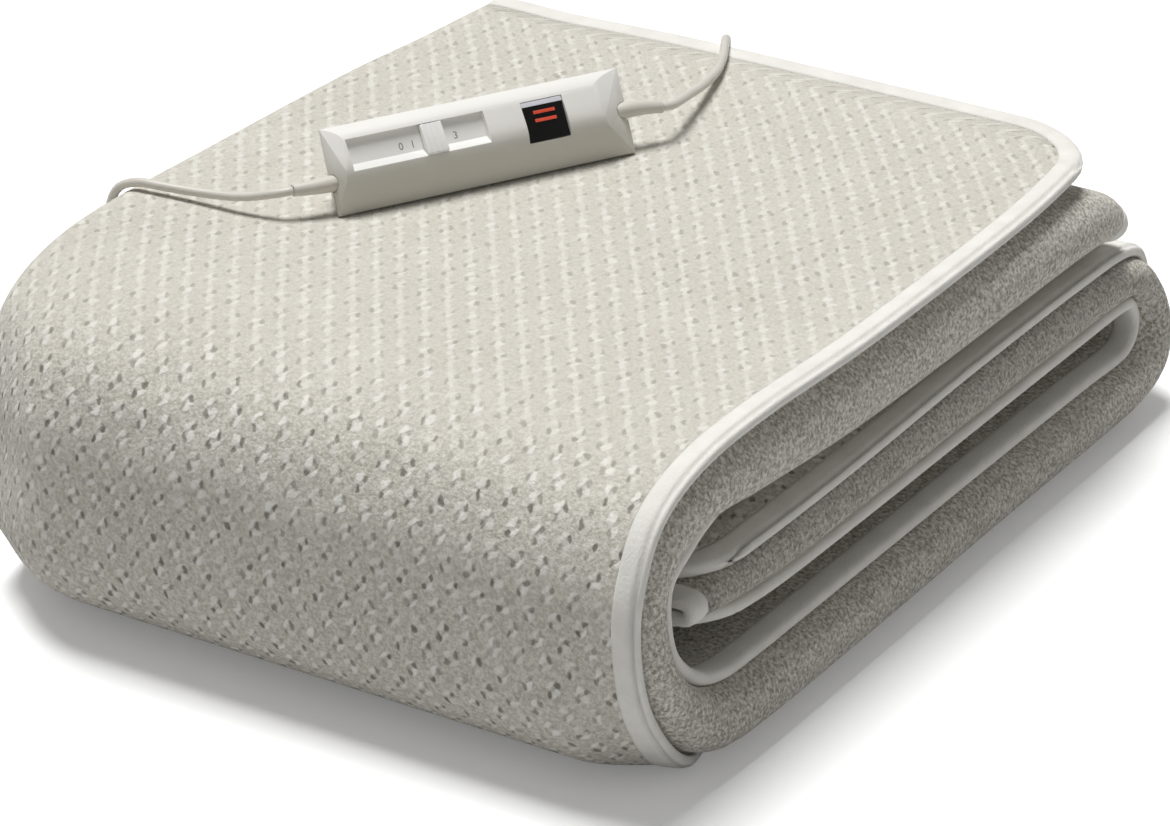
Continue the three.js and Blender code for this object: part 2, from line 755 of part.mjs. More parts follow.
// The moulded socket that joins the pad lead to the sheet's end, lying on the back bend.
function socketBody() {
  const { width, length, height } = padSocket;
  const corners = [-1, 1].flatMap((side) => [
    [(side * width) / 2, -length / 2 + 2, -height / 2],
    [(side * width) / 2, -length / 2, 0],
    [(side * width) / 2, -length / 2 + 2, height / 2],
    [(side * width) / 2, length / 6, -height / 2],
    [(side * width) / 2, length / 6, height / 2],
    [side * 4.5, length / 2, -height / 2 + 1],
    [side * 4.5, length / 2, height / 2 - 1],
  ]);
  return Manifold.hull(corners)
    .rotate([-padSocket.tilt, 0, 0])
    .translate([padSocket.x, padSocket.y, padSocket.z]);
}

// A flat two-pin plug, along +X from the lead to its face, with blind holes for the pins.
function roundedSection(x, width, height) {
  const radius = height / 2;
  return Array.from({ length: 16 }, (_, i) => {
    const angle = ((i + 0.5) * Math.PI) / 8;
    const side = Math.sign(Math.cos(angle)) * (width / 2 - radius);
    return [x, side + radius * Math.cos(angle), radius * Math.sin(angle)];
  });
}

function plugParts() {
  const face = plug.length;
  const front = Manifold.hull([
    ...roundedSection(face, plug.width - 1, plug.height - 1),
    ...roundedSection(face - 2, plug.width, plug.height),
    ...roundedSection(face - 12, plug.width, plug.height),
    ...roundedSection(12, 15, 11),
  ]);
  const neck = Manifold.hull([...roundedSection(12.5, 14, 10.6), ...roundedSection(0.3, 7, 6.6)]);
  const pins = [-1, 1].map((side) => {
    const depth = plugPin.root + plugPin.length;
    const start = face - plugPin.root;
    const along = (radius, from, length) =>
      Manifold.cylinder(length, radius, radius, 20)
        .rotate([0, 90, 0])
        .translate([from, (side * plugPin.pitch) / 2, 0]);
    return {
      pin: along(plugPin.radius, start, depth),
      hole: along(plugPin.radius + GAP, start - GAP, depth),
    };
  });
  const body = pins.reduce((solid, { hole }) => solid.subtract(hole), front.add(neck));
  const place = (solid) =>
    solid.rotate([0, 0, plug.turnDegrees]).translate([plug.x, plug.y, plug.height / 2 + 0.05]);
  return { body: place(body), pins: pins.map(({ pin }) => place(pin)) };
}

// ---------------------------------------------------------------- materials and assembly

const finishes = {
  cloth: { color: 0xd6d1c7, roughness: 0.95 },
  tape: { color: 0xe3e0db, roughness: 0.9 },
  housing: { color: 0xf1efea, roughness: 0.4 },
  dark: { color: 0x0a0a08, roughness: 0.1 },
  lit: { color: 0xd8482a, roughness: 0.4 },
  lead: { color: 0xdedad0, roughness: 0.5 },
  metal: { color: 0xc9c9c6, roughness: 0.25, metalness: 1 },
};

const part = new THREE.Group();

function add(name, geometry, finish, parent = part) {
  const mesh = new THREE.Mesh(geometry, new THREE.MeshStandardMaterial(finishes[finish]));
  mesh.name = name;
  parent.add(mesh);
  return mesh;
}

add('pad_cloth', padCloth(), 'cloth');
add('pad_binding', padBinding(), 'tape');

const handset = new THREE.Group();
handset.position.set(controller.cornerX, controller.cornerY, controller.lift);
handset.rotation.z = THREE.MathUtils.degToRad(controller.turnDegrees);
part.add(handset);

const { cover, shell, glass, bars } = controllerParts();
add('controller_cover', geometryOf(cover), 'housing', handset);
add('controller_shell', geometryOf(shell), 'housing', handset);
add('controller_window', geometryOf(glass), 'dark', handset);
bars.forEach((bar, i) => add(`display_bar_${i + 1}`, geometryOf(bar), 'lit', handset));
add('slider_knob', geometryOf(sliderKnob()), 'housing', handset);

const padAxis = facePoint(padExit.rise, 0);
const padBoot = add('pad_lead_relief', strainRelief(padLead.diameter / 2, padExit), 'housing', handset);
padBoot.position.set(boot.inside, padAxis.y, padAxis.z);
padBoot.rotation.z = Math.PI;
const mainsAxis = facePoint(mainsExit.rise, 0);
const mainsRelief = strainRelief(mainsLead.diameter / 2, mainsExit);
const mainsBoot = add('mains_lead_relief', mainsRelief, 'housing', handset);
mainsBoot.position.set(controller.length - boot.inside, mainsAxis.y, mainsAxis.z);

add('pad_socket', geometryOf(socketBody()), 'housing');
add('pad_lead', tube(padLeadRoute, padLead.diameter, 40), 'lead');
add('pad_lead_coil', coilRing(padLead), 'lead');
add('pad_lead_tail', tube(padTailRoute, padLead.diameter, 11), 'lead');
add('mains_lead', tube(mainsLeadRoute, mainsLead.diameter, 26), 'lead');
add('mains_lead_coil', coilRing(mainsLead), 'lead');
add('mains_lead_tail', tube(mainsTailRoute, mainsLead.diameter, 4), 'lead');

const mainsPlug = plugParts();
add('plug_body', geometryOf(mainsPlug.body), 'housing');
mainsPlug.pins.forEach((pin, i) => add(`plug_pin_${i + 1}`, geometryOf(pin), 'metal'));

export default part;
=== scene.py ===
# Heated mattress pad, folded for storage, with its slide controller and its two leads. Sizes and
# places are in mm, and MM makes them metres.

import math

import bpy
import numpy as np
from mathutils import Matrix, Vector


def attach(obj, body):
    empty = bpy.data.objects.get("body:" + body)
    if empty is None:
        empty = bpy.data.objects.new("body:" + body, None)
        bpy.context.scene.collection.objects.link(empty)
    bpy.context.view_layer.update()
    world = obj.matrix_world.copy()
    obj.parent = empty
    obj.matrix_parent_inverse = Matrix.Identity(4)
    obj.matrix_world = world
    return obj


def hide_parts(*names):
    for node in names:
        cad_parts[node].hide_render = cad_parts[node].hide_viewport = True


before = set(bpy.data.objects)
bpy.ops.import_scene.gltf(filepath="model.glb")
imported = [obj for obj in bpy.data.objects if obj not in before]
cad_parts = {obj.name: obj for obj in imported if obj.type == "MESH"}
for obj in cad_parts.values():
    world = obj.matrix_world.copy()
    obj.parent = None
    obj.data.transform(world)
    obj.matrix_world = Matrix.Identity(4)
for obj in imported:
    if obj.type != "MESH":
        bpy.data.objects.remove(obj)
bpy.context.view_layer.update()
bpy.ops.object.select_all(action="DESELECT")
MM = 0.001


# ---------------------------------------------------------------- camera
# A long lens above the pack, which sees its top, its front bend and its right side.

camera_place = Vector((1.13582, -1.81274, 1.10603))
camera_aim = Vector((-0.01250, 0.01609, 0.03325))
camera_data = bpy.data.cameras.new("camera")
camera_data.sensor_width = 36.0
camera_data.lens = 159.81
camera_data.clip_end = 60.0
camera = bpy.data.objects.new("camera", camera_data)
camera.location = camera_place
camera.rotation_euler = (camera_aim - camera_place).to_track_quat("-Z", "Y").to_euler()
bpy.context.collection.objects.link(camera)
bpy.context.scene.camera = camera


# ---------------------------------------------------------------- leads
# Two-core flexible cords in extruded PVC, a satin plastic with soft highlights along its length.
# One joins the controller to the pad, and the other runs to the mains plug. The rest is coiled.

def linear(hex_colour):
    """An sRGB hex colour as linear red, green, blue and alpha."""
    parts = [int(hex_colour[i:i + 2], 16) / 255 for i in (1, 3, 5)]
    return [c / 12.92 if c <= 0.04045 else ((c + 0.055) / 1.055) ** 2.4 for c in parts] + [1.0]


def add_node(material, kind, settings=None, links=None):
    """Adds a node with its settings, and fills its inputs with values or other nodes' outputs."""
    node = material.node_tree.nodes.new(kind)
    for name, value in (settings or {}).items():
        setattr(node, name, value)
    for name, value in (links or {}).items():
        if isinstance(value, bpy.types.Node):
            value = value.outputs[0]
        if isinstance(value, bpy.types.NodeSocket):
            material.node_tree.links.new(value, node.inputs[name])
        else:
            node.inputs[name].default_value = value
    return node


def new_material(name):
    """An empty node material, with its surface shader and its output."""
    material = bpy.data.materials.new(name)
    material.use_nodes = True
    return material, material.node_tree.nodes["Principled BSDF"]


def connect(material, source, shader, socket):
    material.node_tree.links.new(source.outputs[0], shader.inputs[socket])


def clouded(material, shader, socket, cloud_mm, detail, low, high):
    """Fills a colour socket with a soft cloud of two colours. Returns the coordinates' node."""
    place = add_node(material, "ShaderNodeTexCoord")
    cloud = add_node(material, "ShaderNodeTexNoise", {}, {
        "Vector": place.outputs["Object"], "Scale": 1 / (cloud_mm * MM), "Detail": detail})
    tint = add_node(material, "ShaderNodeMix", {"data_type": "RGBA"}, {
        0: cloud.outputs["Fac"], "A": low, "B": high})
    material.node_tree.links.new(tint.outputs["Result"], shader.inputs[socket])
    return place


pvc, pvc_shader = new_material("extruded_pvc_satin")
pvc_shader.inputs["Roughness"].default_value = 0.42
pvc_shader.inputs["IOR"].default_value = 1.53
pvc_place = clouded(pvc, pvc_shader, "Base Color", 18, 3.0, linear("#CFCBC1"), linear("#DEDAD1"))
pvc_grain = add_node(pvc, "ShaderNodeTexNoise", {}, {
    "Vector": pvc_place.outputs["Object"], "Scale": 1 / 0.0012, "Detail": 2.0})
pvc_bump = add_node(pvc, "ShaderNodeBump", {}, {
    "Height": pvc_grain.outputs["Fac"], "Strength": 0.12, "Distance": 0.0003})
connect(pvc, pvc_bump, pvc_shader, "Normal")


route_step_mm = 3.0


def smooth_route(points, step):
    """Points about a step apart on a smooth curve through the given ones."""
    points = np.array(points, float)
    padded = np.vstack([2 * points[0] - points[1], points, 2 * points[-1] - points[-2]])
    route = []
    for a, b, c, d in zip(padded[:-3], padded[1:-2], padded[2:-1], padded[3:]):
        count = max(2, int(np.linalg.norm(c - b) / step))
        for t in np.arange(count) / count:
            route.append(0.5 * (2 * b + (c - a) * t + (2 * a - 5 * b + 4 * c - d) * t * t
                                + (3 * b - a - 3 * c + d) * t ** 3))
    return np.array(route + [points[-1]])


def round_cord(name, points_mm, diameter_mm, material):
    """A round cord through the points, as one open spline. Returns it and its length in metres."""
    route = smooth_route(points_mm, route_step_mm) * MM
    curve = bpy.data.curves.new(name, "CURVE")
    curve.dimensions = "3D"
    curve.bevel_depth = diameter_mm * MM / 2
    curve.bevel_resolution = 4
    curve.use_fill_caps = True
    spline = curve.splines.new("POLY")
    spline.points.add(len(route) - 1)
    spline.points.foreach_set("co", np.c_[route, np.ones(len(route))].ravel())
    spline.use_smooth = True
    curve.materials.append(material)
    cord = bpy.data.objects.new(name, curve)
    bpy.context.collection.objects.link(cord)
    return cord, float(np.linalg.norm(np.diff(route, axis=0), axis=1).sum())


def coil(centre, turns, start_degrees, way, last_share=1.0, points_a_turn=24):
    """Points of a wound coil, whose turns (radius, height) each step to the next near their end."""
    points = []
    shift_from, shift_to = 0.60, 0.84
    for index, (radius, height) in enumerate(turns):
        last = index == len(turns) - 1
        after = turns[min(index + 1, len(turns) - 1)]
        for k in range(points_a_turn):
            share = k / points_a_turn
            if last and share > last_share:
                break
            move = min(1.0, max(0.0, (share - shift_from) / (shift_to - shift_from)))
            move = 0.0 if last else move * move * (3 - 2 * move)
            r = radius + (after[0] - radius) * move
            angle = math.radians(start_degrees + way * 360 * share)
            z = height + (after[1] - height) * move
            points.append((centre[0] + r * math.cos(angle), centre[1] + r * math.sin(angle), z))
    return points


pad_lead_mm = 4.2
# Out of the controller, over the pack's left edge, down its side and round behind it.
pad_lead_route = [
    (-103.2, -85.9, 162.95), (-104.1, -87.3, 162.9), (-107.4, -89.4, 162.2),
    (-112.6, -91.2, 160.9),
    (-120, -93, 159), (-129, -94.6, 157.4), (-141, -96.6, 156.6), (-153, -99.2, 156.6),
    (-165, -101.9, 157), (-175.8, -103.5, 156.8), (-185.2, -104.8, 152.8), (-190, -105.6, 144),
    (-191.8, -105.8, 130), (-191.8, -105, 112), (-191.8, -103, 88), (-191.8, -100.5, 62),
    (-191.8, -97.5, 38), (-192, -92.5, 19), (-192.5, -83, 7), (-193, -69, 2.6), (-194, -45, 2.2),
    (-194.5, 0, 2.2), (-194.5, 60, 2.2), (-194.5, 120, 2.2), (-194.5, 175, 2.2), (-194, 215, 2.2),
    (-189.5, 237, 2.2), (-179, 251, 2.2), (-166, 256, 2.2), (-155.6, 256, 2.2),
]
pad_lead_turns = [(23, 2.2), (23, 6.4), (23, 10.6)]
# Out of the coil and up the back bend to the pad's socket.
pad_tail_route = [
    (-124.4, 256, 7.6), (-112, 255.4, 6.4), (-101, 254.4, 9.5), (-92.5, 253.4, 19),
    (-88, 252.8, 33),
    (-86, 251.6, 47), (-85.2, 245.6, 59.4), (-85, 239, 70), (-85, 231.8, 79.1),
    (-85, 224.55, 84.75),
]
pad_lead_points = (
    pad_lead_route + coil((-140, 279), pad_lead_turns, -90, 1, last_share=0.0) + pad_tail_route)
pad_lead, pad_lead_length = round_cord("pad_flex", pad_lead_points, pad_lead_mm, pvc)
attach(pad_lead, "pad")
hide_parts("pad_lead", "pad_lead_coil", "pad_lead_tail")

mains_lead_mm = 4.4
# Out of the controller's other end, over the back edge and down behind the pack.
mains_lead_route = [
    (-9.3, 78.1, 165.8), (-8.6, 79.5, 165.7), (-7.9, 83.6, 164.9), (-8.8, 90, 163.7),
    (-10.6, 99, 162.2), (-13.2, 110, 160.2), (-15.6, 120.8, 158.2), (-18.6, 132.6, 156.2),
    (-21.7, 143.7, 154.8), (-25, 154.4, 153.7), (-29.3, 165.3, 153.1), (-34.3, 176, 152.9),
    (-39.4, 185.6, 153.3), (-43.6, 193.6, 152.2), (-47.7, 201.2, 147.2), (-50.6, 206.2, 138),
    (-52.2, 209, 126), (-53.2, 211.4, 113), (-53.8, 216.5, 100), (-54.2, 225, 88.4),
    (-54.6, 235, 77.6), (-55, 243.8, 65.6), (-55, 249.4, 52), (-55, 251.6, 38), (-55, 253.4, 24),
    (-55, 258, 11.5), (-55, 265.4, 4), (-55, 273.5, 2.3),
]
coil_columns = (26.4, 22.0, 17.6)
coil_heights = (2.3, 6.7, 11.1, 15.5)
mains_lead_turns = [
    (radius, height)
    for layer, height in enumerate(coil_heights)
    for radius in (coil_columns if layer % 2 == 0 else coil_columns[::-1])]
# Off the top of the coil and down to the plug beside it.
mains_tail_route = [
    (-11.4, 316.2, 15.6), (-4, 314.6, 14.4), (5, 310.6, 11.6), (13, 305.4, 8.6),
    (20.6, 301.9, 7.1), (23.6, 301.1, 7.05),
]
mains_lead_points = (
    mains_lead_route + coil((-28.6, 290), mains_lead_turns, 180, -1, last_share=0.24)
    + mains_tail_route)
mains_lead, mains_lead_length = round_cord("mains_flex", mains_lead_points, mains_lead_mm, pvc)
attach(mains_lead, "pad")
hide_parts("mains_lead", "mains_lead_coil", "mains_lead_tail")


# ---------------------------------------------------------------- pad cloth
# One sheet of two brushed polyester fleeces, stitch-bonded over the heating wire. It is folded back
# and forth into four panels, and that strip is rolled: top, front bend, bottom, back bend, middle.
# White yarn is sewn through it in zigzag rows, with a needle hole in the crook of each zigzag.

# One row for each station along the strip: where panel 1 and panel 4 lie, how far the two bound
# edges reach, where the folds turn, how far panel 1 stands off, and how far its edge droops.
outer_y, outer_z, inner_y, inner_z, edge_1, edge_4, right_turn, left_turn, lift, droop = range(10)
station_rows = np.array([
    (206, 104, 186, 98, 155, 146, 171, -164, 42, 0),
    (192, 123, 171, 99.5, 160, 146, 175, -169, 23.5, 0),
    (164, 136.5, 150, 100, 167.5, 146, 178, -173, 10, 0),
    (124, 143, 118, 99.5, 173, 146, 179, -177, 3, -1),
    (64, 145.5, 64, 99, 176.5, 147, 179, -183, 0.5, -1.5),
    (-54, 146, -54, 99, 177.5, 149, 178, -187, 0, -1.5),
    (-144, 149, -134, 104, 177, 158, 177, -184, 0, -1),
    (-194, 147, -174.5, 109.5, 177, 168, 177, -180, 0, 0),
    (-226.5, 135.5, -197, 108.5, 177.5, 173, 177, -179, 0, 0),
    (-242, 113, -213, 99, 178, 173.5, 177, -181, 0, 0),
    (-245, 88, -214.5, 80, 177.5, 174, 178, -183, 0, 0),
    (-236.5, 56, -208, 62, 176.5, 174.5, 180, -184, 0, 0),
    (-217, 27, -191, 46.5, 175, 175, 182, -184, 0, 0),
    (-191, 6.5, -172, 39.8, 171.5, 175.5, 184, -185, 0, 0),
    (-156, 2.25, -144, 38.6, 165, 176, 185, -185, 0, 0),
    (-54, 2.25, -54, 38.5, 161, 176, 185, -185, 0, 0),
    (66, 2.25, 66, 38.5, 161, 176, 184, -185, 0, 0),
    (156, 2.25, 156, 38, 161, 176, 184, -184, 0, 0),
    (206, 3.5, 195, 36.5, 161, 175.5, 183, -182, 0, 0),
    (238, 14, 208, 40, 161, 175, 182, -180, 0, 0),
    (246, 37, 212.5, 49, 163, 174.5, 180, -179, 0, 0),
    (235, 65, 208.5, 57.5, 167, 174.5, 178, -180, 0, 0),
    (209, 86, 199, 61.3, 172, 174.5, 177, -182, 0.5, 1),
    (156, 90.5, 148, 61, 173.5, 174, 176, -184, 2, 2),
    (46, 90.5, 46, 61, 173.5, 174, 175.5, -184, 2, 2),
    (-54, 90, -54, 61, 173.5, 174, 175.5, -184, 2.5, 4.5),
    (-134, 89, -134, 62, 173, 173.5, 175, -183, 2, 3.5),
    (-197, 87.5, -197, 68, 171, 171, 171, -181, 0, 0),
])
last_station = len(station_rows) - 1
cloth_thickness_mm = 4.5
layer_pitch_mm = 6.1
widest_bulge_mm = 16
droop_width_mm = 24
end_one_across = (0, 0.7, 1, 2, 2.7, 7)
end_one_station = (1, 1, 1.3, 1.1, 0.25, 0.2)


def ease(t):
    t = np.clip(t, 0, 1)
    return t * t * (3 - 2 * t)


def station_at(position):
    """The station values at each place along the strip, on a smooth curve through the rows."""
    position = np.asarray(position, float)
    index = np.clip(np.floor(position).astype(int), 0, last_station - 1)
    t = (position - index)[..., None]
    a, b, c, d = (station_rows[np.clip(index + k, 0, last_station)] for k in (-1, 0, 1, 2))
    values = ((2 * t ** 3 - 3 * t ** 2 + 1) * b + (t ** 3 - 2 * t ** 2 + t) * (c - a) / 2
              + (3 * t ** 2 - 2 * t ** 3) * c + (t ** 3 - t ** 2) * (d - b) / 2)
    return np.moveaxis(values, -1, 0)


def fold_sizes(station):
    """Depth of the folded layers, radius and middle of the left folds, radius of the right one."""
    depth = np.hypot(station[inner_y] - station[outer_y], station[inner_z] - station[outer_z])
    left_radius = (depth - layer_pitch_mm) / 4
    right_radius = depth / 2 - layer_pitch_mm
    return depth, left_radius, station[left_turn] + left_radius, right_radius


def panel_width(station, edge):
    return station[edge] - fold_sizes(station)[2]


def section_at(station, across):
    """x and depth of the sheet's middle, across its four panels (0 to 7) and three folds."""
    depth, left_radius, left_x, right_radius = fold_sizes(station)
    bulge = np.minimum(right_radius, widest_bulge_mm)
    right_x = station[right_turn] - bulge
    second_left = (depth - layer_pitch_mm) / 2
    third_left = (depth + layer_pitch_mm) / 2
    leg = np.minimum(6, np.floor(across))
    t = across - leg
    turn = np.pi * t
    mix = lambda a, b, s: a + (b - a) * s
    x = [
        mix(station[edge_1], left_x, t), left_x - left_radius * np.sin(turn),
        mix(left_x, right_x, t), right_x + bulge * np.sin(turn),
        mix(right_x, left_x, t), left_x - left_radius * np.sin(turn),
        mix(left_x, station[edge_4], t)]
    rise = 1 - np.cos(turn)
    down = [
        0 * t, left_radius * rise,
        mix(second_left, layer_pitch_mm, ease(t)), layer_pitch_mm + right_radius * rise,
        mix(depth - layer_pitch_mm, third_left, ease(t)), third_left + left_radius * rise,
        depth + 0 * t]
    legs = [leg == k for k in range(7)]
    return np.select(legs, x), np.select(legs, down), depth


# How the pack settles: a crowned top, a puffed left side, a belly at the front, and a front left
# corner that is drawn back. In each ease the first number is where it starts, and the second is how
# far it takes to be complete.
crown_share, puff_share, belly_share, back_high, back_low = 0.005, 0.016, 0.1, 0.15, 0.08


def settled(x, y, z):
    height = z + np.maximum(0, z - 6) * (
        crown_share * (1 - (x / 187) ** 2) + puff_share * ease((-120 - x) / 50))
    low = ease((88 - z) / 74)
    belly = belly_share * low * ease((178 - x) / 45) * ease((x + 210) / 75)
    back = (back_high + (back_low - back_high) * low) * ease((-120 - x) / 75)
    reach = np.where(y < 0, y * (1 + (belly - back) * ease(-y / 120)), y)
    return np.stack([x, reach, np.maximum(height, cloth_thickness_mm / 2)], -1)


def sheet_point(position, across):
    """A point of the sheet's middle surface, in mm."""
    position, across = np.broadcast_arrays(np.asarray(position, float), np.asarray(across, float))
    station = station_at(position)
    x, down, depth = section_at(station, across)
    share = down / depth
    stand_off = station[lift] * ease((2.6 - across) / 1.6)
    inset = across * panel_width(station, edge_1)
    sink = np.where(across < 1, station[droop] * (1 - ease(inset / droop_width_mm)), 0)
    y = station[outer_y] + (station[inner_y] - station[outer_y]) * share
    z = station[outer_z] + (station[inner_z] - station[outer_z]) * share + stand_off - sink
    return settled(x, y, z)


def sheet_normal(position, across):
    """The sheet's unit normal, out of the pack on panel 1."""
    step = 0.02
    along = sheet_point(position + step, across) - sheet_point(position - step, across)
    over = sheet_point(position, across + step / 4) - sheet_point(position, across - step / 4)
    normal = np.cross(over, along)
    return normal / np.linalg.norm(normal, axis=-1, keepdims=True)


# A column of the sheet is a share across its folds, or a distance in from one of its bound edges.
def from_share(share):
    return lambda position: np.full_like(np.asarray(position, float), share)


def from_edge_1(inset):
    return lambda position: inset / panel_width(station_at(position), edge_1)


def from_edge_4(inset):
    return lambda position: 7 - inset / panel_width(station_at(position), edge_4)


walk_steps, look_ahead = 6, 0.05


def station_from_end(column, end, distance):
    """The station that lies a distance in from an end of the sheet, measured along the cloth."""
    inward = 1 if end == 1 else -1
    position = float(last_station)
    if end == 1:
        position = float(np.interp(column(1.0), end_one_across, end_one_station))
    for _ in range(walk_steps):
        ahead = position + inward * look_ahead
        gone = sheet_point(ahead, column(ahead)) - sheet_point(position, column(position))
        position += inward * distance / walk_steps * look_ahead / np.linalg.norm(gone)
    return position


# Even rows of points along the strip, each stretch from one station to another at its own spacing:
# close together where the cloth is seen, and wider inside the pack.
binding_width_mm, corner_radius_mm = 12, 30
seam_mm = binding_width_mm + 0.3
corner_centre_mm = seam_mm + corner_radius_mm
row_spacing_mm = ((1.9, 13.2, 4.4), (13.2, 17.6, 15.0), (17.6, 23.0, 7.5), (23.0, 26.0, 9.5))
first_row_at, last_row_at = row_spacing_mm[0][0], row_spacing_mm[-1][1]
mid_line = np.linspace(first_row_at, last_row_at, 2000)
mid_points = sheet_point(mid_line, np.full_like(mid_line, 0.5))
mid_length = np.r_[0, np.cumsum(np.linalg.norm(np.diff(mid_points, axis=0), axis=1))]
cloth_rows = []
for first, final, spacing in row_spacing_mm:
    start, stop = np.interp((first, final), mid_line, mid_length)
    count = int((stop - start) / spacing)
    cloth_rows.extend(np.interp(start + (stop - start) * np.arange(count) / count,
                                mid_length, mid_line))
cloth_rows.append(last_row_at)
end_rows, tail_rows = 9, 3


def column_rows(column, end_distance):
    """Stations down one column, from one end of the sheet to the other."""
    start = station_from_end(column, 1, end_distance)
    stop = station_from_end(column, 2, end_distance)
    head = start + (cloth_rows[0] - start) * np.arange(end_rows) / end_rows
    tail = cloth_rows[-1] + (stop - cloth_rows[-1]) * np.arange(1, tail_rows + 1) / tail_rows
    return np.r_[head, cloth_rows, tail]


corner_angles = np.linspace(0, np.pi / 2, 11)
corner_insets = corner_centre_mm - corner_radius_mm * np.cos(corner_angles)
corner_ends = corner_centre_mm - corner_radius_mm * np.sin(corner_angles)
middle_shares = np.concatenate([
    np.linspace(0.15, 1, 68), np.linspace(1, 2, 12)[1:], np.linspace(2, 3, 10)[1:],
    np.linspace(3, 4, 19)[1:], np.linspace(4, 5, 10)[1:], np.linspace(5, 6, 11)[1:],
    np.linspace(6, 6.85, 14)[1:]])
cloth_columns = (
    [(from_edge_1(i), e) for i, e in zip(corner_insets, corner_ends)]
    + [(from_share(s), seam_mm) for s in middle_shares]
    + [(from_edge_4(i), e) for i, e in zip(corner_insets, corner_ends)][::-1])
positions = np.array([column_rows(column, end) for column, end in cloth_columns]).T
acrosses = np.array([column(p) for (column, _), p in zip(cloth_columns, positions.T)]).T
middle = sheet_point(positions, acrosses)
normals = sheet_normal(positions, acrosses)
steps_across = np.linalg.norm(np.diff(middle, axis=1), axis=2)
flat_u = seam_mm + np.c_[np.zeros(len(middle)), np.cumsum(steps_across, axis=1)]
steps_along = np.linalg.norm(np.diff(middle, axis=0), axis=2)
flat_v = np.vstack([np.zeros(middle.shape[1]), np.cumsum(steps_along, axis=0)])
# The pattern is level across the top panel, at one station and its place down the flat sheet.
level_station, level_mm = 4.0, 150
row_zero = np.argmin(np.abs(positions - level_station), axis=0)
flat_v -= flat_v[row_zero, np.arange(flat_v.shape[1])] - level_mm

# Puckers where the bonding pulls, and two broken creases across the top.
# Each is its middle in mm, its half length and half width, its turn from the X axis, and its depth.
puckers = [
    ((-86.5, -212.2, 144.7), 8, 7, 0, 1.5), ((-74.2, -229.5, 135.9), 9, 7, 20, 1.6),
    ((-38.8, -235.5, 128.8), 8, 7, 0, 1.5), ((-75.2, -243.8, 114.6), 9, 7, 0, 1.3),
    ((-29, -215.8, 143.4), 7, 6, 0, 1.3), ((50.2, -235.5, 128.4), 8, 7, 0, 1.6),
    ((60.6, -215.6, 143.1), 8, 6, 0, 1.2), ((113.4, -235.7, 128.3), 8, 8, 0, 1.5),
    ((16.2, -243.6, 115.2), 8, 7, 0, 1.3), ((108.5, -222.7, 139.6), 8, 7, 0, 1.4),
    ((131.7, -130.8, 151), 5, 5, 0, 0.9), ((151.5, -183.4, 150.4), 5, 5, 0, 0.9),
    ((-7.5, -62.6, 149), 11, 3.4, -9, 0.9), ((32.2, -62.1, 149), 10, 3.4, -9, 0.9),
    ((41.3, -75.9, 149), 9, 3.4, -12, 1.0), ((84.5, -60.8, 149), 12, 3.4, -7, 0.9),
    ((125.2, -65.9, 149), 9, 3.4, 8, 0.8), ((153.5, -84.6, 149), 8, 3.4, 20, 0.8),
    ((98.3, -147.6, 151), 4, 19, 0, 0.7),
]
outer_panel_ends = 1.6
is_outside = acrosses < outer_panel_ends
relief_mm = np.zeros(acrosses.shape)
for (x, y, z), half_length, half_width, turn, deep in puckers:
    at = np.argmin(np.where(is_outside, np.linalg.norm(middle - (x, y, z), axis=2), 1e9))
    du = flat_u - flat_u.flat[at]
    dv = flat_v - flat_v.flat[at]
    turn = math.radians(turn)
    long = du * math.cos(turn) + dv * math.sin(turn)
    wide = dv * math.cos(turn) - du * math.sin(turn)
    relief_mm -= deep * np.exp(-(long / half_length) ** 2 - (wide / half_width) ** 2) * is_outside
outside = middle + normals * (cloth_thickness_mm / 2 + relief_mm)[..., None]
inside = middle - normals * (cloth_thickness_mm / 2)


def grid_faces(rows, columns, first, flip):
    """Quads over a grid of points whose first point has the given number."""
    i, j = np.meshgrid(np.arange(rows - 1), np.arange(columns - 1), indexing="ij")
    a = first + i * columns + j
    quads = np.stack([a, a + columns, a + columns + 1, a + 1], -1).reshape(-1, 4)
    return quads[:, ::-1] if flip else quads


def finish_faces(piece):
    """Links a closed mesh's object, turns its faces outwards and shades it smooth."""
    bpy.context.collection.objects.link(piece)
    piece.select_set(True)
    bpy.context.view_layer.objects.active = piece
    bpy.ops.object.mode_set(mode="EDIT")
    bpy.ops.mesh.select_all(action="SELECT")
    bpy.ops.mesh.normals_make_consistent(inside=False)
    bpy.ops.object.mode_set(mode="OBJECT")
    bpy.ops.object.shade_smooth()
    piece.select_set(False)


def closed_sheet(name, outside, inside, flat_u, flat_v, material):
    """A closed mesh of a sheet's two faces and its rim, with its flat pattern as UV."""
    rows, columns = outside.shape[:2]
    count = rows * columns
    rim = np.concatenate([
        np.arange(columns), np.arange(2, rows + 1) * columns - 1,
        (rows - 1) * columns + np.arange(columns - 2, -1, -1),
        np.arange(rows - 2, 0, -1) * columns])
    after = np.roll(rim, -1)
    wall = np.stack([rim, after, after + count, rim + count], -1)
    faces = np.vstack([
        grid_faces(rows, columns, 0, False), grid_faces(rows, columns, count, True), wall])
    mesh = bpy.data.meshes.new(name)
    points = np.vstack([outside.reshape(-1, 3), inside.reshape(-1, 3)]) * MM
    mesh.from_pydata(points.tolist(), [], faces.tolist())
    uv = mesh.uv_layers.new(name="flat")
    flat = np.stack([flat_u.ravel(), flat_v.ravel()], -1) * MM
    flat = np.vstack([flat, flat])
    corners = np.empty(len(mesh.loops), int)
    mesh.loops.foreach_get("vertex_index", corners)
    uv.data.foreach_set("uv", flat[corners].ravel())
    mesh.materials.append(material)
    sheet = bpy.data.objects.new(name, mesh)
    finish_faces(sheet)
    return sheet


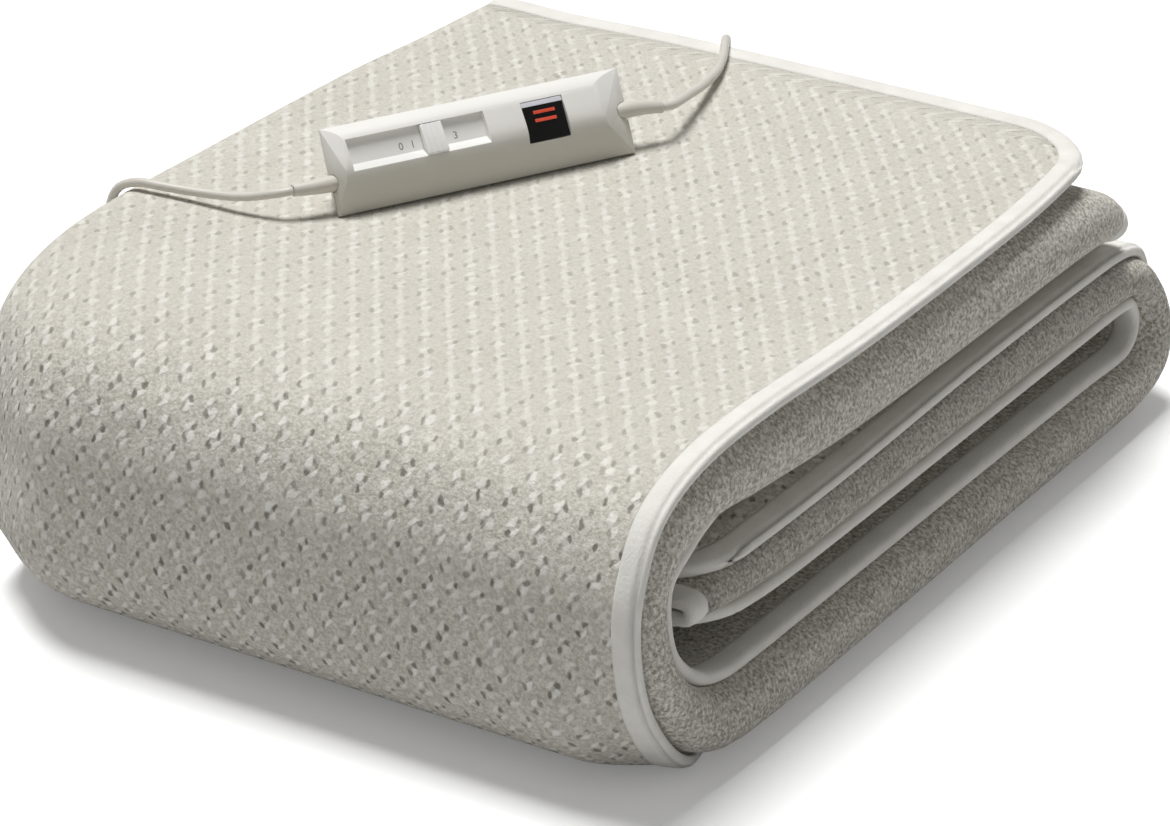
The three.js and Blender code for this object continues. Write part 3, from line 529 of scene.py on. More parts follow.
fleece, fleece_shader = new_material("stitch_bonded_polyester_fleece")
fleece_shader.inputs["Roughness"].default_value = 0.95
fleece_shader.inputs["Specular IOR Level"].default_value = 0.15
fleece_shader.inputs["Sheen Weight"].default_value = 0.12
fleece_shader.inputs["Sheen Roughness"].default_value = 0.6
# A soft matt fleece with a pale fuzz, a zigzag of whiter yarn and small dark holes. The fuzz is
# drawn coarser than its fibres, which are too fine to show.
flat_map = add_node(fleece, "ShaderNodeUVMap", {"uv_map": "flat"})
stitch_place = add_node(fleece, "ShaderNodeAttribute", {"attribute_name": "stitch_place"})
wander = add_node(fleece, "ShaderNodeTexNoise", {"noise_dimensions": "2D"}, {
    "Vector": flat_map, "Scale": 1 / 0.006, "Detail": 2.0})
wander_mid = add_node(fleece, "ShaderNodeVectorMath", {"operation": "SUBTRACT"}, {
    0: wander.outputs["Color"], 1: (0.5, 0.5, 0.5)})
wander_size = add_node(fleece, "ShaderNodeVectorMath", {"operation": "SCALE"}, {
    0: wander_mid, "Scale": 0.30})
wandered = add_node(fleece, "ShaderNodeVectorMath", {"operation": "ADD"}, {
    0: stitch_place.outputs["Vector"], 1: wander_size})
in_cell = add_node(fleece, "ShaderNodeVectorMath", {"operation": "FRACTION"}, {0: wandered})
cell_name = add_node(fleece, "ShaderNodeVectorMath", {"operation": "FLOOR"}, {0: wandered})


def spot(middle, first_axis, second_axis, chance_seed):
    """A soft leaning oval in every stitch cell, stronger in some cells than in others."""
    moved = add_node(fleece, "ShaderNodeVectorMath", {"operation": "SUBTRACT"}, {
        0: in_cell, 1: (*middle, 0)})
    squares = []
    for axis in (first_axis, second_axis):
        along = add_node(fleece, "ShaderNodeVectorMath", {"operation": "DOT_PRODUCT"}, {
            0: moved, 1: (*axis, 0)})
        squares.append(add_node(fleece, "ShaderNodeMath", {"operation": "MULTIPLY"}, {
            0: along.outputs["Value"], 1: along.outputs["Value"]}))
    total = add_node(fleece, "ShaderNodeMath", {"operation": "ADD"}, {0: squares[0], 1: squares[1]})
    shape = add_node(fleece, "ShaderNodeMapRange", {"interpolation_type": "SMOOTHSTEP"}, {
        "Value": total, "From Min": 1.6, "From Max": 0.1, "To Min": 0.0, "To Max": 1.0})
    seeded = add_node(fleece, "ShaderNodeVectorMath", {"operation": "ADD"}, {
        0: cell_name, 1: (chance_seed, chance_seed, 0)})
    chance = add_node(fleece, "ShaderNodeTexWhiteNoise", {"noise_dimensions": "2D"}, {
        "Vector": seeded})
    strength = add_node(fleece, "ShaderNodeMapRange", {}, {
        "Value": chance.outputs["Value"], "To Min": 0.3, "To Max": 1.0})
    return add_node(fleece, "ShaderNodeMath", {"operation": "MULTIPLY"}, {0: shape, 1: strength})


# The two legs of the yarn in each cell, then the two holes beside them, right and left of the row.
leg_axes = ((2.2, -2.4), (7.2, 7.0))
hole_axes = ((11.0, 3.0), (2.1, 6.8))
legs = (spot((0.47, 0.29), *leg_axes, 0.0), spot((0.54, 0.64), *leg_axes, 11.0))
holes = (spot((0.72, 0.28), *hole_axes, 23.0), spot((0.28, 0.71), *hole_axes, 37.0))
leg_light = add_node(fleece, "ShaderNodeMath", {"operation": "MAXIMUM"}, {0: legs[0], 1: legs[1]})
in_cell_parts = add_node(fleece, "ShaderNodeSeparateXYZ", {}, {0: in_cell})
off_row = add_node(fleece, "ShaderNodeMath", {"operation": "SUBTRACT"}, {
    0: in_cell_parts.outputs["X"], 1: 0.5})
off_row_size = add_node(fleece, "ShaderNodeMath", {"operation": "ABSOLUTE"}, {0: off_row})
hole_dark = add_node(fleece, "ShaderNodeMath", {"operation": "MAXIMUM"}, {
    0: holes[0], 1: holes[1]})
# Where the cloth is stretched over a bend its holes stand open, and where it lies flat they close.
openness = add_node(fleece, "ShaderNodeAttribute", {"attribute_name": "openness"})
inside_face = add_node(fleece, "ShaderNodeAttribute", {"attribute_name": "inside_face"})
row_light = add_node(fleece, "ShaderNodeMapRange", {"interpolation_type": "SMOOTHSTEP"}, {
    "Value": off_row_size, "From Min": 0.17, "From Max": 0.06, "To Min": 0.0, "To Max": 1.0})
row_strength = add_node(fleece, "ShaderNodeMapRange", {}, {
    "Value": openness.outputs["Fac"], "To Min": 0.32, "To Max": 0.0})
row_patches = add_node(fleece, "ShaderNodeMapRange", {}, {
    "Value": wander.outputs["Fac"], "From Min": 0.35, "From Max": 0.65,
    "To Min": 0.25, "To Max": 1.3})
row_seen = add_node(fleece, "ShaderNodeMath", {"operation": "MULTIPLY"}, {
    0: row_light, 1: row_patches})
row_share = add_node(fleece, "ShaderNodeMath", {"operation": "MULTIPLY"}, {
    0: row_seen, 1: row_strength})
leg_strength = add_node(fleece, "ShaderNodeMapRange", {}, {
    "Value": openness.outputs["Fac"], "To Min": 0.6, "To Max": 0.88})
leg_share = add_node(fleece, "ShaderNodeMath", {"operation": "MULTIPLY"}, {
    0: leg_light, 1: leg_strength})
yarn_light = add_node(fleece, "ShaderNodeMath", {"operation": "MAXIMUM"}, {
    0: leg_share, 1: row_share})
hole_strength = add_node(fleece, "ShaderNodeMapRange", {}, {
    "Value": openness.outputs["Fac"], "To Min": 0.32, "To Max": 0.8})
# On the faces turned into the pack the fuzz is thick and mottled, and hides most of the stitches.
clear_share = add_node(fleece, "ShaderNodeMapRange", {}, {
    "Value": inside_face.outputs["Fac"], "To Min": 1.0, "To Max": 0.25})
yarn_share = add_node(fleece, "ShaderNodeMath", {"operation": "MULTIPLY"}, {
    0: yarn_light, 1: clear_share})
hole_seen = add_node(fleece, "ShaderNodeMath", {"operation": "MULTIPLY"}, {
    0: hole_dark, 1: hole_strength})
hole_share = add_node(fleece, "ShaderNodeMath", {"operation": "MULTIPLY"}, {
    0: hole_seen, 1: clear_share})
fuzz = add_node(fleece, "ShaderNodeTexNoise", {"noise_dimensions": "2D"}, {
    "Vector": flat_map, "Scale": 1 / 0.0026, "Detail": 5.0, "Roughness": 0.7})
fuzz_level = add_node(fleece, "ShaderNodeMapRange", {}, {
    "Value": fuzz.outputs["Fac"], "From Min": 0.3, "From Max": 0.7, "To Min": 0.0, "To Max": 1.0})
patch = add_node(fleece, "ShaderNodeTexNoise", {"noise_dimensions": "2D"}, {
    "Vector": flat_map, "Scale": 1 / 0.04, "Detail": 2.0})
base_share = add_node(fleece, "ShaderNodeMath", {"operation": "MULTIPLY_ADD"}, {
    0: fuzz_level, 1: 0.55, 2: add_node(fleece, "ShaderNodeMath", {"operation": "MULTIPLY"}, {
        0: patch.outputs["Fac"], 1: 0.45})})
base_tint = add_node(fleece, "ShaderNodeMix", {"data_type": "RGBA"}, {
    0: base_share, "A": linear("#CBC6B9"), "B": linear("#E5E1D7")})
fleece_place = add_node(fleece, "ShaderNodeTexCoord")
grain = add_node(fleece, "ShaderNodeTexNoise", {}, {
    "Vector": fleece_place.outputs["Object"], "Scale": 1 / 0.0018, "Detail": 3.0,
    "Roughness": 0.7})
grain_level = add_node(fleece, "ShaderNodeMapRange", {}, {
    "Value": grain.outputs["Fac"], "From Min": 0.36, "From Max": 0.64,
    "To Min": 0.0, "To Max": 1.0})
grain_tint = add_node(fleece, "ShaderNodeMix", {"data_type": "RGBA"}, {
    0: grain_level, "A": linear("#7F7968"), "B": linear("#F6F3EA")})
front_grain = add_node(fleece, "ShaderNodeMapRange", {}, {
    "Value": openness.outputs["Fac"], "To Min": 0.12, "To Max": 0.38})
grain_share = add_node(fleece, "ShaderNodeMath", {"operation": "MULTIPLY_ADD"}, {
    0: inside_face.outputs["Fac"], 1: 0.42, 2: front_grain})
mottled = add_node(fleece, "ShaderNodeMix", {"data_type": "RGBA"}, {
    0: grain_share, "A": base_tint.outputs["Result"], "B": grain_tint.outputs["Result"]})
with_yarn = add_node(fleece, "ShaderNodeMix", {"data_type": "RGBA"}, {
    0: yarn_share, "A": mottled.outputs["Result"], "B": linear("#FAF8F1")})
with_holes = add_node(fleece, "ShaderNodeMix", {"data_type": "RGBA"}, {
    0: hole_share, "A": with_yarn.outputs["Result"], "B": linear("#5B5548")})
fleece.node_tree.links.new(with_holes.outputs["Result"], fleece_shader.inputs["Base Color"])
height_fuzz = add_node(fleece, "ShaderNodeMath", {"operation": "MULTIPLY"}, {
    0: fuzz.outputs["Fac"], 1: 0.9})
height_yarn = add_node(fleece, "ShaderNodeMath", {"operation": "MULTIPLY_ADD"}, {
    0: yarn_share, 1: 0.55, 2: height_fuzz})
height_holes = add_node(fleece, "ShaderNodeMath", {"operation": "MULTIPLY_ADD"}, {
    0: hole_share, 1: -0.8, 2: height_yarn})
fleece_bump = add_node(fleece, "ShaderNodeBump", {}, {
    "Height": height_holes, "Strength": 0.9, "Distance": 0.0011})
connect(fleece, fleece_bump, fleece_shader, "Normal")

cloth = closed_sheet("folded_fleece", outside, inside, flat_u, flat_v, fleece)
# The holes open from here down the sheet, where the front bend begins.
bend_from_mm, bend_grows_mm, top_panel_ends = 395, 70, 1.2
bend_share = ease((flat_v - bend_from_mm) / bend_grows_mm)
open_share = np.where(acrosses < top_panel_ends, bend_share, 1.0).ravel()
open_layer = cloth.data.attributes.new("openness", "FLOAT", "POINT")
open_layer.data.foreach_set("value", np.r_[open_share, open_share])
# The faces turned into the pack start at the first fold, just short of one panel across.
turned_in_from, turned_in_grows = 0.98, 0.5
inside_share = ease((acrosses - turned_in_from) / turned_in_grows).ravel()
inside_layer = cloth.data.attributes.new("inside_face", "FLOAT", "POINT")
inside_layer.data.foreach_set("value", np.r_[inside_share, np.ones(inside_share.size)])
# The rows slant across the sheet, less over the front, where the stitches are also closer together.
row_mm, top_slant, front_slant, top_stitch_mm, front_stitch_mm = 12.5, 0.69, 0.37, 12.8, 10.7
front_from_mm, front_grows_mm, past_the_sheet_mm = 425, 60, 4000.0
v_steps = np.arange(0, past_the_sheet_mm)
front_share = ease((v_steps - front_from_mm) / front_grows_mm)
slant_gone = np.cumsum(top_slant + (front_slant - top_slant) * front_share)
stitches_gone = np.cumsum(1 / (top_stitch_mm + (front_stitch_mm - top_stitch_mm) * front_share))
across_rows = -(flat_u + np.interp(flat_v, v_steps, slant_gone)) / row_mm
down_rows = np.interp(flat_v, v_steps, stitches_gone)
place = np.stack([across_rows.ravel(), down_rows.ravel(), np.zeros(flat_u.size)], -1)
place_layer = cloth.data.attributes.new("stitch_place", "FLOAT_VECTOR", "POINT")
place_layer.data.foreach_set("vector", np.vstack([place, place]).ravel())
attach(cloth, "pad")
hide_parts("pad_cloth")


# ---------------------------------------------------------------- binding
# A knitted polyester tape, 12 mm wide, folded over the sheet's raw edge all round and sewn through.

# The tape's section, as its inset from the edge and its height over the sheet's middle, goes over
# one side of the sheet, round the edge and back under the other side.
one_side = [
    (12.2, 2.35), (10.8, 2.75), (8.5, 3.1), (5.5, 3.25), (3.0, 3.2), (1.3, 2.7), (0.3, 1.5)]
profile = one_side + [(0.0, 0.0)] + [(inset, -height) for inset, height in one_side[::-1]]
at_the_edge = len(one_side)
tape_step_mm, tape_opening_mm = 5.0, 4
tape_angles = np.linspace(0, np.pi / 2, 11)


def side_stop(from_edge, position):
    return lambda inset: (position, float(from_edge(inset)(position)))


def corner_stop(from_edge, end, angle):
    def stop(inset):
        radius = corner_centre_mm - inset
        column = from_edge(corner_centre_mm - radius * math.cos(angle))
        position = station_from_end(column, end, corner_centre_mm - radius * math.sin(angle))
        return position, float(column(position))
    return stop


def end_stop(end, share):
    def stop(inset):
        return station_from_end(from_share(share), end, inset), share
    return stop


def side_rows(from_edge):
    """Even stations down a bound side, between its two corners."""
    column = from_edge(seam_mm)
    start = station_from_end(column, 1, corner_centre_mm)
    stop = station_from_end(column, 2, corner_centre_mm)
    line = np.linspace(start, stop, 1500)
    points = sheet_point(line, column(line))
    length = np.r_[0, np.cumsum(np.linalg.norm(np.diff(points, axis=0), axis=1))]
    count = int(length[-1] / tape_step_mm)
    return np.interp(length[-1] * np.arange(1, count) / count, length, line)


tape_shares = middle_shares[::2]
tape_stops = (
    [side_stop(from_edge_1, p) for p in side_rows(from_edge_1)]
    + [corner_stop(from_edge_1, 2, a) for a in tape_angles]
    + [end_stop(2, s) for s in tape_shares]
    + [corner_stop(from_edge_4, 2, a) for a in tape_angles[::-1]]
    + [side_stop(from_edge_4, p) for p in side_rows(from_edge_4)[::-1]]
    + [corner_stop(from_edge_4, 1, a) for a in tape_angles]
    + [end_stop(1, s) for s in tape_shares[::-1]]
    + [corner_stop(from_edge_1, 1, a) for a in tape_angles[::-1]])
tape_at = np.array([[stop(inset) for inset, _ in profile] for stop in tape_stops])
tape_height = np.array([height for _, height in profile])
tape_middle = sheet_point(tape_at[..., 0], tape_at[..., 1])
tape_normals = sheet_normal(tape_at[..., 0], tape_at[..., 1])
tape_points = tape_middle + tape_normals * tape_height[None, :, None]
# Under the pack the tape is pressed flat by the surface that it lies on.
pressed_to_mm = 0.05
tape_points[..., 2] = np.maximum(tape_points[..., 2], pressed_to_mm)
edge_steps = np.linalg.norm(np.diff(tape_middle[:, at_the_edge], axis=0), axis=1)
tape_length = np.cumsum(np.r_[0, edge_steps])
tape_width = np.cumsum(np.r_[0, np.linalg.norm(np.diff(np.array(profile), axis=0), axis=1)])

# A matt knit, whiter than the fleece, with ribs too fine to show but as a slight roughness.
knit, knit_shader = new_material("knitted_polyester_tape")
knit_shader.inputs["Roughness"].default_value = 0.9
knit_shader.inputs["Specular IOR Level"].default_value = 0.2
knit_shader.inputs["Sheen Weight"].default_value = 0.1
tape_map = add_node(knit, "ShaderNodeUVMap", {"uv_map": "flat"})
tape_cloud = add_node(knit, "ShaderNodeTexNoise", {"noise_dimensions": "2D"}, {
    "Vector": tape_map, "Scale": 1 / 0.012, "Detail": 3.0})
tape_tint = add_node(knit, "ShaderNodeMix", {"data_type": "RGBA"}, {
    0: tape_cloud.outputs["Fac"], "A": linear("#DEDCD5"), "B": linear("#F0EEE8")})
knit.node_tree.links.new(tape_tint.outputs["Result"], knit_shader.inputs["Base Color"])
rib_parts = add_node(knit, "ShaderNodeMapping", {}, {
    "Vector": tape_map, "Scale": (1 / 0.0016, 1 / 0.0011, 1.0)})
ribs = add_node(knit, "ShaderNodeTexNoise", {"noise_dimensions": "2D"}, {
    "Vector": rib_parts, "Scale": 1.0, "Detail": 2.0})
tape_bump = add_node(knit, "ShaderNodeBump", {}, {
    "Height": ribs.outputs["Fac"], "Strength": 0.5, "Distance": 0.0005})
connect(knit, tape_bump, knit_shader, "Normal")

ring_count, ring_size = tape_points.shape[:2]
tape_mesh = bpy.data.meshes.new("edge_binding")
i, j = np.meshgrid(np.arange(ring_count), np.arange(ring_size), indexing="ij")
i_next = (i + 1) % ring_count
j_next = (j + 1) % ring_size
tape_faces = np.stack([
    i * ring_size + j, i_next * ring_size + j,
    i_next * ring_size + j_next, i * ring_size + j_next], -1).reshape(-1, 4)
tape_mesh.from_pydata((tape_points.reshape(-1, 3) * MM).tolist(), [], tape_faces.tolist())
tape_uv = tape_mesh.uv_layers.new(name="flat")
tape_u = np.r_[tape_length, tape_length[-1] + tape_step_mm] * MM
tape_v = np.r_[tape_width, tape_width[-1] + tape_opening_mm] * MM
corner_rows = np.stack([i, i + 1, i + 1, i], -1).reshape(-1)
corner_cols = np.stack([j, j, j + 1, j + 1], -1).reshape(-1)
tape_uv.data.foreach_set("uv", np.stack([tape_u[corner_rows], tape_v[corner_cols]], -1).ravel())
tape_mesh.materials.append(knit)
tape = bpy.data.objects.new("edge_binding", tape_mesh)
finish_faces(tape)
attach(tape, "pad")
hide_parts("pad_binding")


# ---------------------------------------------------------------- controller
# A slide controller in moulded white ABS: a front cover whose brow is turned up to the light, a
# back shell, a sliding knob in a scooped slot, and a display behind a flat smoked window.

def refined(node, name, bevel_mm, segments=3, angle=30):
    """A CAD solid's shape with its doubles merged, its flats made whole and its edges rounded."""
    copy = bpy.data.objects.new(name, bpy.data.objects[node].data.copy())
    copy.data.materials.clear()
    bpy.context.collection.objects.link(copy)
    bpy.ops.object.select_all(action="DESELECT")
    copy.select_set(True)
    bpy.context.view_layer.objects.active = copy
    bpy.ops.object.mode_set(mode="EDIT")
    bpy.ops.mesh.select_all(action="SELECT")
    bpy.ops.mesh.remove_doubles(threshold=0.02 * MM)
    bpy.ops.mesh.dissolve_limited(angle_limit=math.radians(1))
    bpy.ops.object.mode_set(mode="OBJECT")
    rounding = copy.modifiers.new("rounding", "BEVEL")
    rounding.width = bevel_mm * MM
    rounding.segments = segments
    rounding.limit_method = "ANGLE"
    rounding.angle_limit = math.radians(angle)
    bpy.ops.object.modifier_apply(modifier="rounding")
    bpy.ops.object.shade_smooth_by_angle(angle=math.radians(angle))
    copy.select_set(False)
    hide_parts(node)
    return copy


# The controller's own axes: along it, back from its front foot, and up, from its front left corner.
controller_corner = Vector((-0.086, -0.0744, 0.1499))
turn = math.radians(60.5)
controller_along = Vector((math.cos(turn), math.sin(turn), 0))
controller_back = Vector((-math.sin(turn), math.cos(turn), 0))
lean_back_mm, lean_rise_mm = 18.7, 35.4
lean_length = math.hypot(lean_back_mm, lean_rise_mm)
face_up = (controller_back * lean_back_mm + Vector((0, 0, lean_rise_mm))) / lean_length
face_out = face_up.cross(controller_along) * -1


def on_front(along_mm, rise_mm, out_mm):
    """A point at a distance along the controller, a rise up its front, and a distance out."""
    return controller_corner + (controller_along * along_mm + face_up * rise_mm
                                + face_out * out_mm) * MM


def moulded_plastic(name, colour, roughness, grain_mm, grain_depth_mm):
    """A moulded plastic: one colour with a faint cloud, and the fine spark grain of its mould."""
    material, shader = new_material(name)
    shader.inputs["Roughness"].default_value = roughness
    shader.inputs["IOR"].default_value = 1.53
    low = [c * 0.97 for c in linear(colour)[:3]] + [1]
    high = [min(1, c * 1.02) for c in linear(colour)[:3]] + [1]
    place = clouded(material, shader, "Base Color", 30, 3.0, low, high)
    grain = add_node(material, "ShaderNodeTexNoise", {}, {
        "Vector": place.outputs["Object"], "Scale": 1 / (grain_mm * MM), "Detail": 2.0})
    bump = add_node(material, "ShaderNodeBump", {}, {
        "Height": grain.outputs["Fac"], "Strength": 0.25, "Distance": grain_depth_mm * MM})
    connect(material, bump, shader, "Normal")
    return material


# Satin ABS: bright where it is turned up, with a soft broad highlight along the brow. Its colour is
# also painted darker towards the foot, as painted shade.
abs_satin_painted_shade = moulded_plastic("moulded_abs_satin", "#F3F1EC", 0.36, 0.6, 0.05)
abs_white = moulded_plastic("moulded_abs_white", "#F5F4F0", 0.30, 0.6, 0.04)
# Towards its foot the housing's colour is painted a little darker and warmer. This is painted shade
# on the lower face, and its spread is a guess.
shade_below_mm, unshaded_above_mm = 10, 28
satin_nodes = abs_satin_painted_shade.node_tree.nodes
satin_shader = satin_nodes["Principled BSDF"]
satin_unshaded_colour = satin_shader.inputs["Base Color"].links[0].from_socket
satin_place = add_node(abs_satin_painted_shade, "ShaderNodeTexCoord")
from_corner = add_node(abs_satin_painted_shade, "ShaderNodeVectorMath", {"operation": "SUBTRACT"}, {
    0: satin_place.outputs["Object"], 1: controller_corner})
rise = add_node(abs_satin_painted_shade, "ShaderNodeVectorMath", {"operation": "DOT_PRODUCT"}, {
    0: from_corner, 1: face_up})
# The share of the unshaded colour rises up the face, and below it the colour is painted shade.
unshaded_share = add_node(abs_satin_painted_shade, "ShaderNodeMapRange", {"interpolation_type": "SMOOTHSTEP"}, {
    "Value": rise.outputs["Value"], "From Min": shade_below_mm * MM,
    "From Max": unshaded_above_mm * MM, "To Min": 0.0, "To Max": 1.0})
# Mixes the painted shade colour in towards the foot.
painted_foot_shade = add_node(abs_satin_painted_shade, "ShaderNodeMix", {"data_type": "RGBA"}, {
    0: unshaded_share, "A": linear("#CECBC1"), "B": satin_unshaded_colour})
abs_satin_painted_shade.node_tree.links.new(painted_foot_shade.outputs["Result"], satin_shader.inputs["Base Color"])

front_cover = refined("controller_cover", "controller_front", 0.7, 3, 24)
front_cover.data.materials.append(abs_satin_painted_shade)
front_cover.data.materials.append(abs_white)
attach(front_cover, "pad")

back_shell = refined("controller_shell", "controller_back", 1.2)
back_shell.data.materials.append(abs_satin_painted_shade)
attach(back_shell, "pad")

# The slot is lined with the whiter plastic of the slider, so its faces take the second material.
# They lie deeper than the cover's face, which leans in above the slot's foot.
slot_left, slot_right, slot_foot, slot_top, slot_slack = 8.4, 77.6, 17.4, 33.6, 0.2
face_out_mm, face_leans_from, face_lean, slot_depth_mm = 10.4, 18, 0.1, 0.9
for face in front_cover.data.polygons:
    place = face.center - controller_corner
    along = place.dot(controller_along) / MM
    rise = place.dot(face_up) / MM
    out = place.dot(face_out) / MM
    surface = face_out_mm - face_lean * max(0, rise - face_leans_from)
    in_length = slot_left - slot_slack < along < slot_right + slot_slack
    if in_length and slot_foot < rise < slot_top and out < surface - slot_depth_mm:
        face.material_index = 1

knob = refined("slider_knob", "slider_cap", 0.6, 3)
knob.data.materials.append(abs_white)
bpy.context.view_layer.objects.active = knob
knob.select_set(True)
# Three shallow finger grooves across its front, made by insetting and sinking strips of that face.
groove_half_mm, groove_margin_mm, groove_depth_mm, cap_face_mm = 0.6, 0.15, 0.14, 6.5
for groove_mm in (48.0, 50.8, 53.6):
    bpy.ops.object.mode_set(mode="EDIT")
    bpy.ops.mesh.select_mode(type="FACE")
    for side_mm in (-groove_half_mm, groove_half_mm):
        bpy.ops.mesh.select_all(action="SELECT")
        bpy.ops.mesh.bisect(
            plane_co=on_front(groove_mm + side_mm, 0, 0), plane_no=controller_along)
    bpy.ops.mesh.select_all(action="DESELECT")
    bpy.ops.object.mode_set(mode="OBJECT")
    for face in knob.data.polygons:
        place = face.center - controller_corner
        is_strip = abs(place.dot(controller_along) / MM - groove_mm) < groove_half_mm - 0.05
        faces_out = face.normal.dot(face_out) > 0.8
        face.select = is_strip and faces_out and place.dot(face_out) / MM > cap_face_mm
    bpy.ops.object.mode_set(mode="EDIT")
    bpy.ops.mesh.inset(thickness=groove_margin_mm * MM, depth=-groove_depth_mm * MM)
    bpy.ops.object.mode_set(mode="OBJECT")
knob.select_set(False)
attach(knob, "knob")

# Smoked acrylic: nearly black and polished, with a pale printed band along its upper edge.
smoked, smoked_shader = new_material("smoked_acrylic")
smoked_shader.inputs["Roughness"].default_value = 0.06
smoked_shader.inputs["IOR"].default_value = 1.49
clouded(smoked, smoked_shader, "Base Color", 4, 5.0, linear("#050504"), linear("#12110F"))
printed_band = moulded_plastic("printed_pale_band", "#E4E3EC", 0.2, 0.8, 0.01)
window = refined("controller_window", "display_window", 0.25, 2)
window.data.materials.append(smoked)
window.data.materials.append(printed_band)
bpy.context.view_layer.objects.active = window
window.select_set(True)
bpy.ops.object.mode_set(mode="EDIT")
bpy.ops.mesh.select_all(action="SELECT")
band_rise_mm = 30.4
band_from = on_front(0, band_rise_mm, 0)
bpy.ops.mesh.bisect(plane_co=band_from, plane_no=face_up)
bpy.ops.object.mode_set(mode="OBJECT")
window.select_set(False)
for face in window.data.polygons:
    if (face.center - band_from).dot(face_up) > 0:
        face.material_index = 1
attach(window, "pad")

# The lit bars glow red-orange behind the window, in a soft cloud of two reds.
glow, glow_shader = new_material("lit_red_bar")
glow_shader.inputs["Base Color"].default_value = linear("#7A1F10")
glow_shader.inputs["Roughness"].default_value = 0.35
clouded(glow, glow_shader, "Emission Color", 2.5, 2.0, linear("#9C2A1E"), linear("#D65A40"))
glow_shader.inputs["Emission Strength"].default_value = 0.8
for number in (1, 2):
    bar = refined(f"display_bar_{number}", f"lit_bar_{number}", 0.2, 2)
    bar.data.materials.append(glow)
    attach(bar, "pad")

# Plain setting numbers are pad-printed in grey on the slot's floor, at both sides of the knob.
ink, ink_shader = new_material("pad_printed_grey_ink")
ink_shader.inputs["Roughness"].default_value = 0.6
clouded(ink, ink_shader, "Base Color", 0.8, 3.0, linear("#77746F"), linear("#9C9994"))
# The slot's floor rises from 6.2 mm out at its foot to 5.0 mm out at its top.
floor_foot = on_front(0, 21.4, 6.2)
floor_up = (on_front(0, 32.9, 5.0) - floor_foot).normalized()
floor_out = floor_up.cross(controller_along) * -1
mark_up_mm, mark_height_mm, ink_thick_mm, ink_lift_mm = 3.3, 4.8, 0.02, 0.03
for number, along_mm in {"0": 34.9, "1": 40.8, "3": 62.4}.items():
    bpy.ops.object.text_add(location=(0, 0, 0))
    mark = bpy.context.active_object
    mark.name = "setting_" + number
    mark.data.body = number
    mark.data.size = mark_height_mm * MM
    mark.data.align_x = "CENTER"
    mark.data.align_y = "CENTER"
    mark.data.extrude = ink_thick_mm * MM
    bpy.ops.object.convert(target="MESH")
    at = (floor_foot + controller_along * along_mm * MM + floor_up * mark_up_mm * MM
          + floor_out * ink_lift_mm * MM)
    axes = Matrix((controller_along, floor_up, floor_out)).transposed().to_4x4()
    mark.data.transform(Matrix.Translation(at) @ axes)
    mark.data.materials.append(ink)
    mark.select_set(False)
    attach(mark, "pad")

# The strain reliefs are soft PVC sleeves, moulded on with raised rings so that they bend evenly.
sleeve_pvc = moulded_plastic("moulded_soft_pvc", "#D3CFC5", 0.5, 0.9, 0.06)
for node in ("pad_lead_relief", "mains_lead_relief"):
    relief = refined(node, node.replace("relief", "sleeve"), 0.35, 2)
    relief.data.materials.append(sleeve_pvc)
    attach(relief, "pad")


# ---------------------------------------------------------------- pad socket
# The moulded connector that joins the pad lead to the sheet: two halves welded round its middle.

socket = refined("pad_socket", "pad_connector", 1.4, 4)
socket.data.materials.append(sleeve_pvc)
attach(socket, "pad")


# ---------------------------------------------------------------- mains plug
# A flat two-pin plug moulded in one piece on the lead. Its pins are brass, plated with nickel.

plug_pvc = moulded_plastic("moulded_plug_pvc", "#DAD6CC", 0.42, 0.9, 0.06)
plug = refined("plug_body", "mains_plug", 1.0, 3, 28)
plug.data.materials.append(plug_pvc)
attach(plug, "pad")

nickel, nickel_shader = new_material("nickel_plated_brass")
nickel_shader.inputs["Metallic"].default_value = 1.0
nickel_shader.inputs["Roughness"].default_value = 0.24
clouded(nickel, nickel_shader, "Base Color", 3, 4.0, linear("#BDB8AC"), linear("#D9D6CE"))
for number in (1, 2):
    pin = refined(f"plug_pin_{number}", f"mains_pin_{number}", 0.7, 3)
    pin.data.materials.append(nickel)
    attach(pin, "pad")


# ---------------------------------------------------------------- floor, backdrop and light
# A matt white paper floor under one large soft lamp, high and a little to the left, in a plain pale
# room. Seen directly, the paper and the room are white, but they give the pad only a low light.

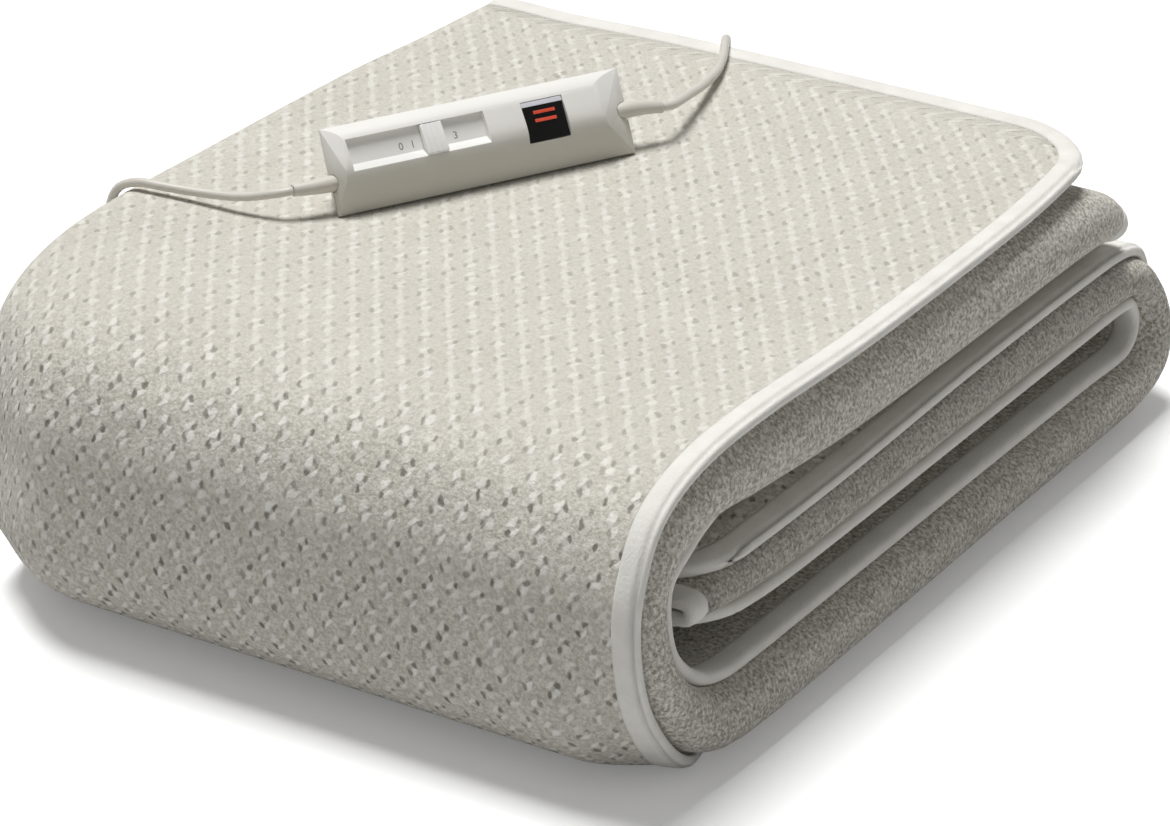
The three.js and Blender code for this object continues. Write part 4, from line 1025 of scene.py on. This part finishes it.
floor_size = 24.0
bpy.ops.mesh.primitive_plane_add(size=floor_size, location=(0, 0, 0))
floor = bpy.context.active_object
floor.name = "floor"
paper, paper_shader = new_material("matt_paper")
paper_shader.inputs["Roughness"].default_value = 1.0
paper_shader.inputs["Specular IOR Level"].default_value = 0.0
paper_path = add_node(paper, "ShaderNodeLightPath")
paper_seen = add_node(paper, "ShaderNodeMath", {"operation": "MAXIMUM"}, {
    0: paper_path.outputs["Is Camera Ray"], 1: paper_path.outputs["Is Glossy Ray"]})
paper_gives, paper_shows, paper_glows = 0.62, 0.96, 0.18
paper_tint = add_node(paper, "ShaderNodeMix", {"data_type": "RGBA"}, {
    0: paper_seen, "A": [paper_gives] * 3 + [1], "B": [paper_shows] * 3 + [1]})
paper.node_tree.links.new(paper_tint.outputs["Result"], paper_shader.inputs["Base Color"])
paper_glow = add_node(paper, "ShaderNodeMath", {"operation": "MULTIPLY"}, {
    0: paper_seen, 1: paper_glows})
paper_shader.inputs["Emission Color"].default_value = (1, 1, 1, 1)
paper.node_tree.links.new(paper_glow.outputs[0], paper_shader.inputs["Emission Strength"])
floor.data.materials.append(paper)

world = bpy.data.worlds.new("studio")
bpy.context.scene.world = world
world.use_nodes = True
sky = world.node_tree.nodes["Background"]
sky.inputs["Color"].default_value = (1, 1, 1, 1)
sky_path = world.node_tree.nodes.new("ShaderNodeLightPath")
sky_level = world.node_tree.nodes.new("ShaderNodeMapRange")
room_gives, room_shows = 0.21, 1.0
sky_level.inputs["To Min"].default_value = room_gives
sky_level.inputs["To Max"].default_value = room_shows
world.node_tree.links.new(sky_path.outputs["Is Camera Ray"], sky_level.inputs["Value"])
world.node_tree.links.new(sky_level.outputs["Result"], sky.inputs["Strength"])

key_data = bpy.data.lights.new("key", "SUN")
key_data.energy = 3.05
key_data.angle = 0.42
key = bpy.data.objects.new("key", key_data)
towards_lamp = Vector((-0.21, 0.07, 0.965))
key.rotation_euler = towards_lamp.to_track_quat("Z", "Y").to_euler()
bpy.context.collection.objects.link(key)
bpy.context.scene.view_settings.view_transform = "Standard"
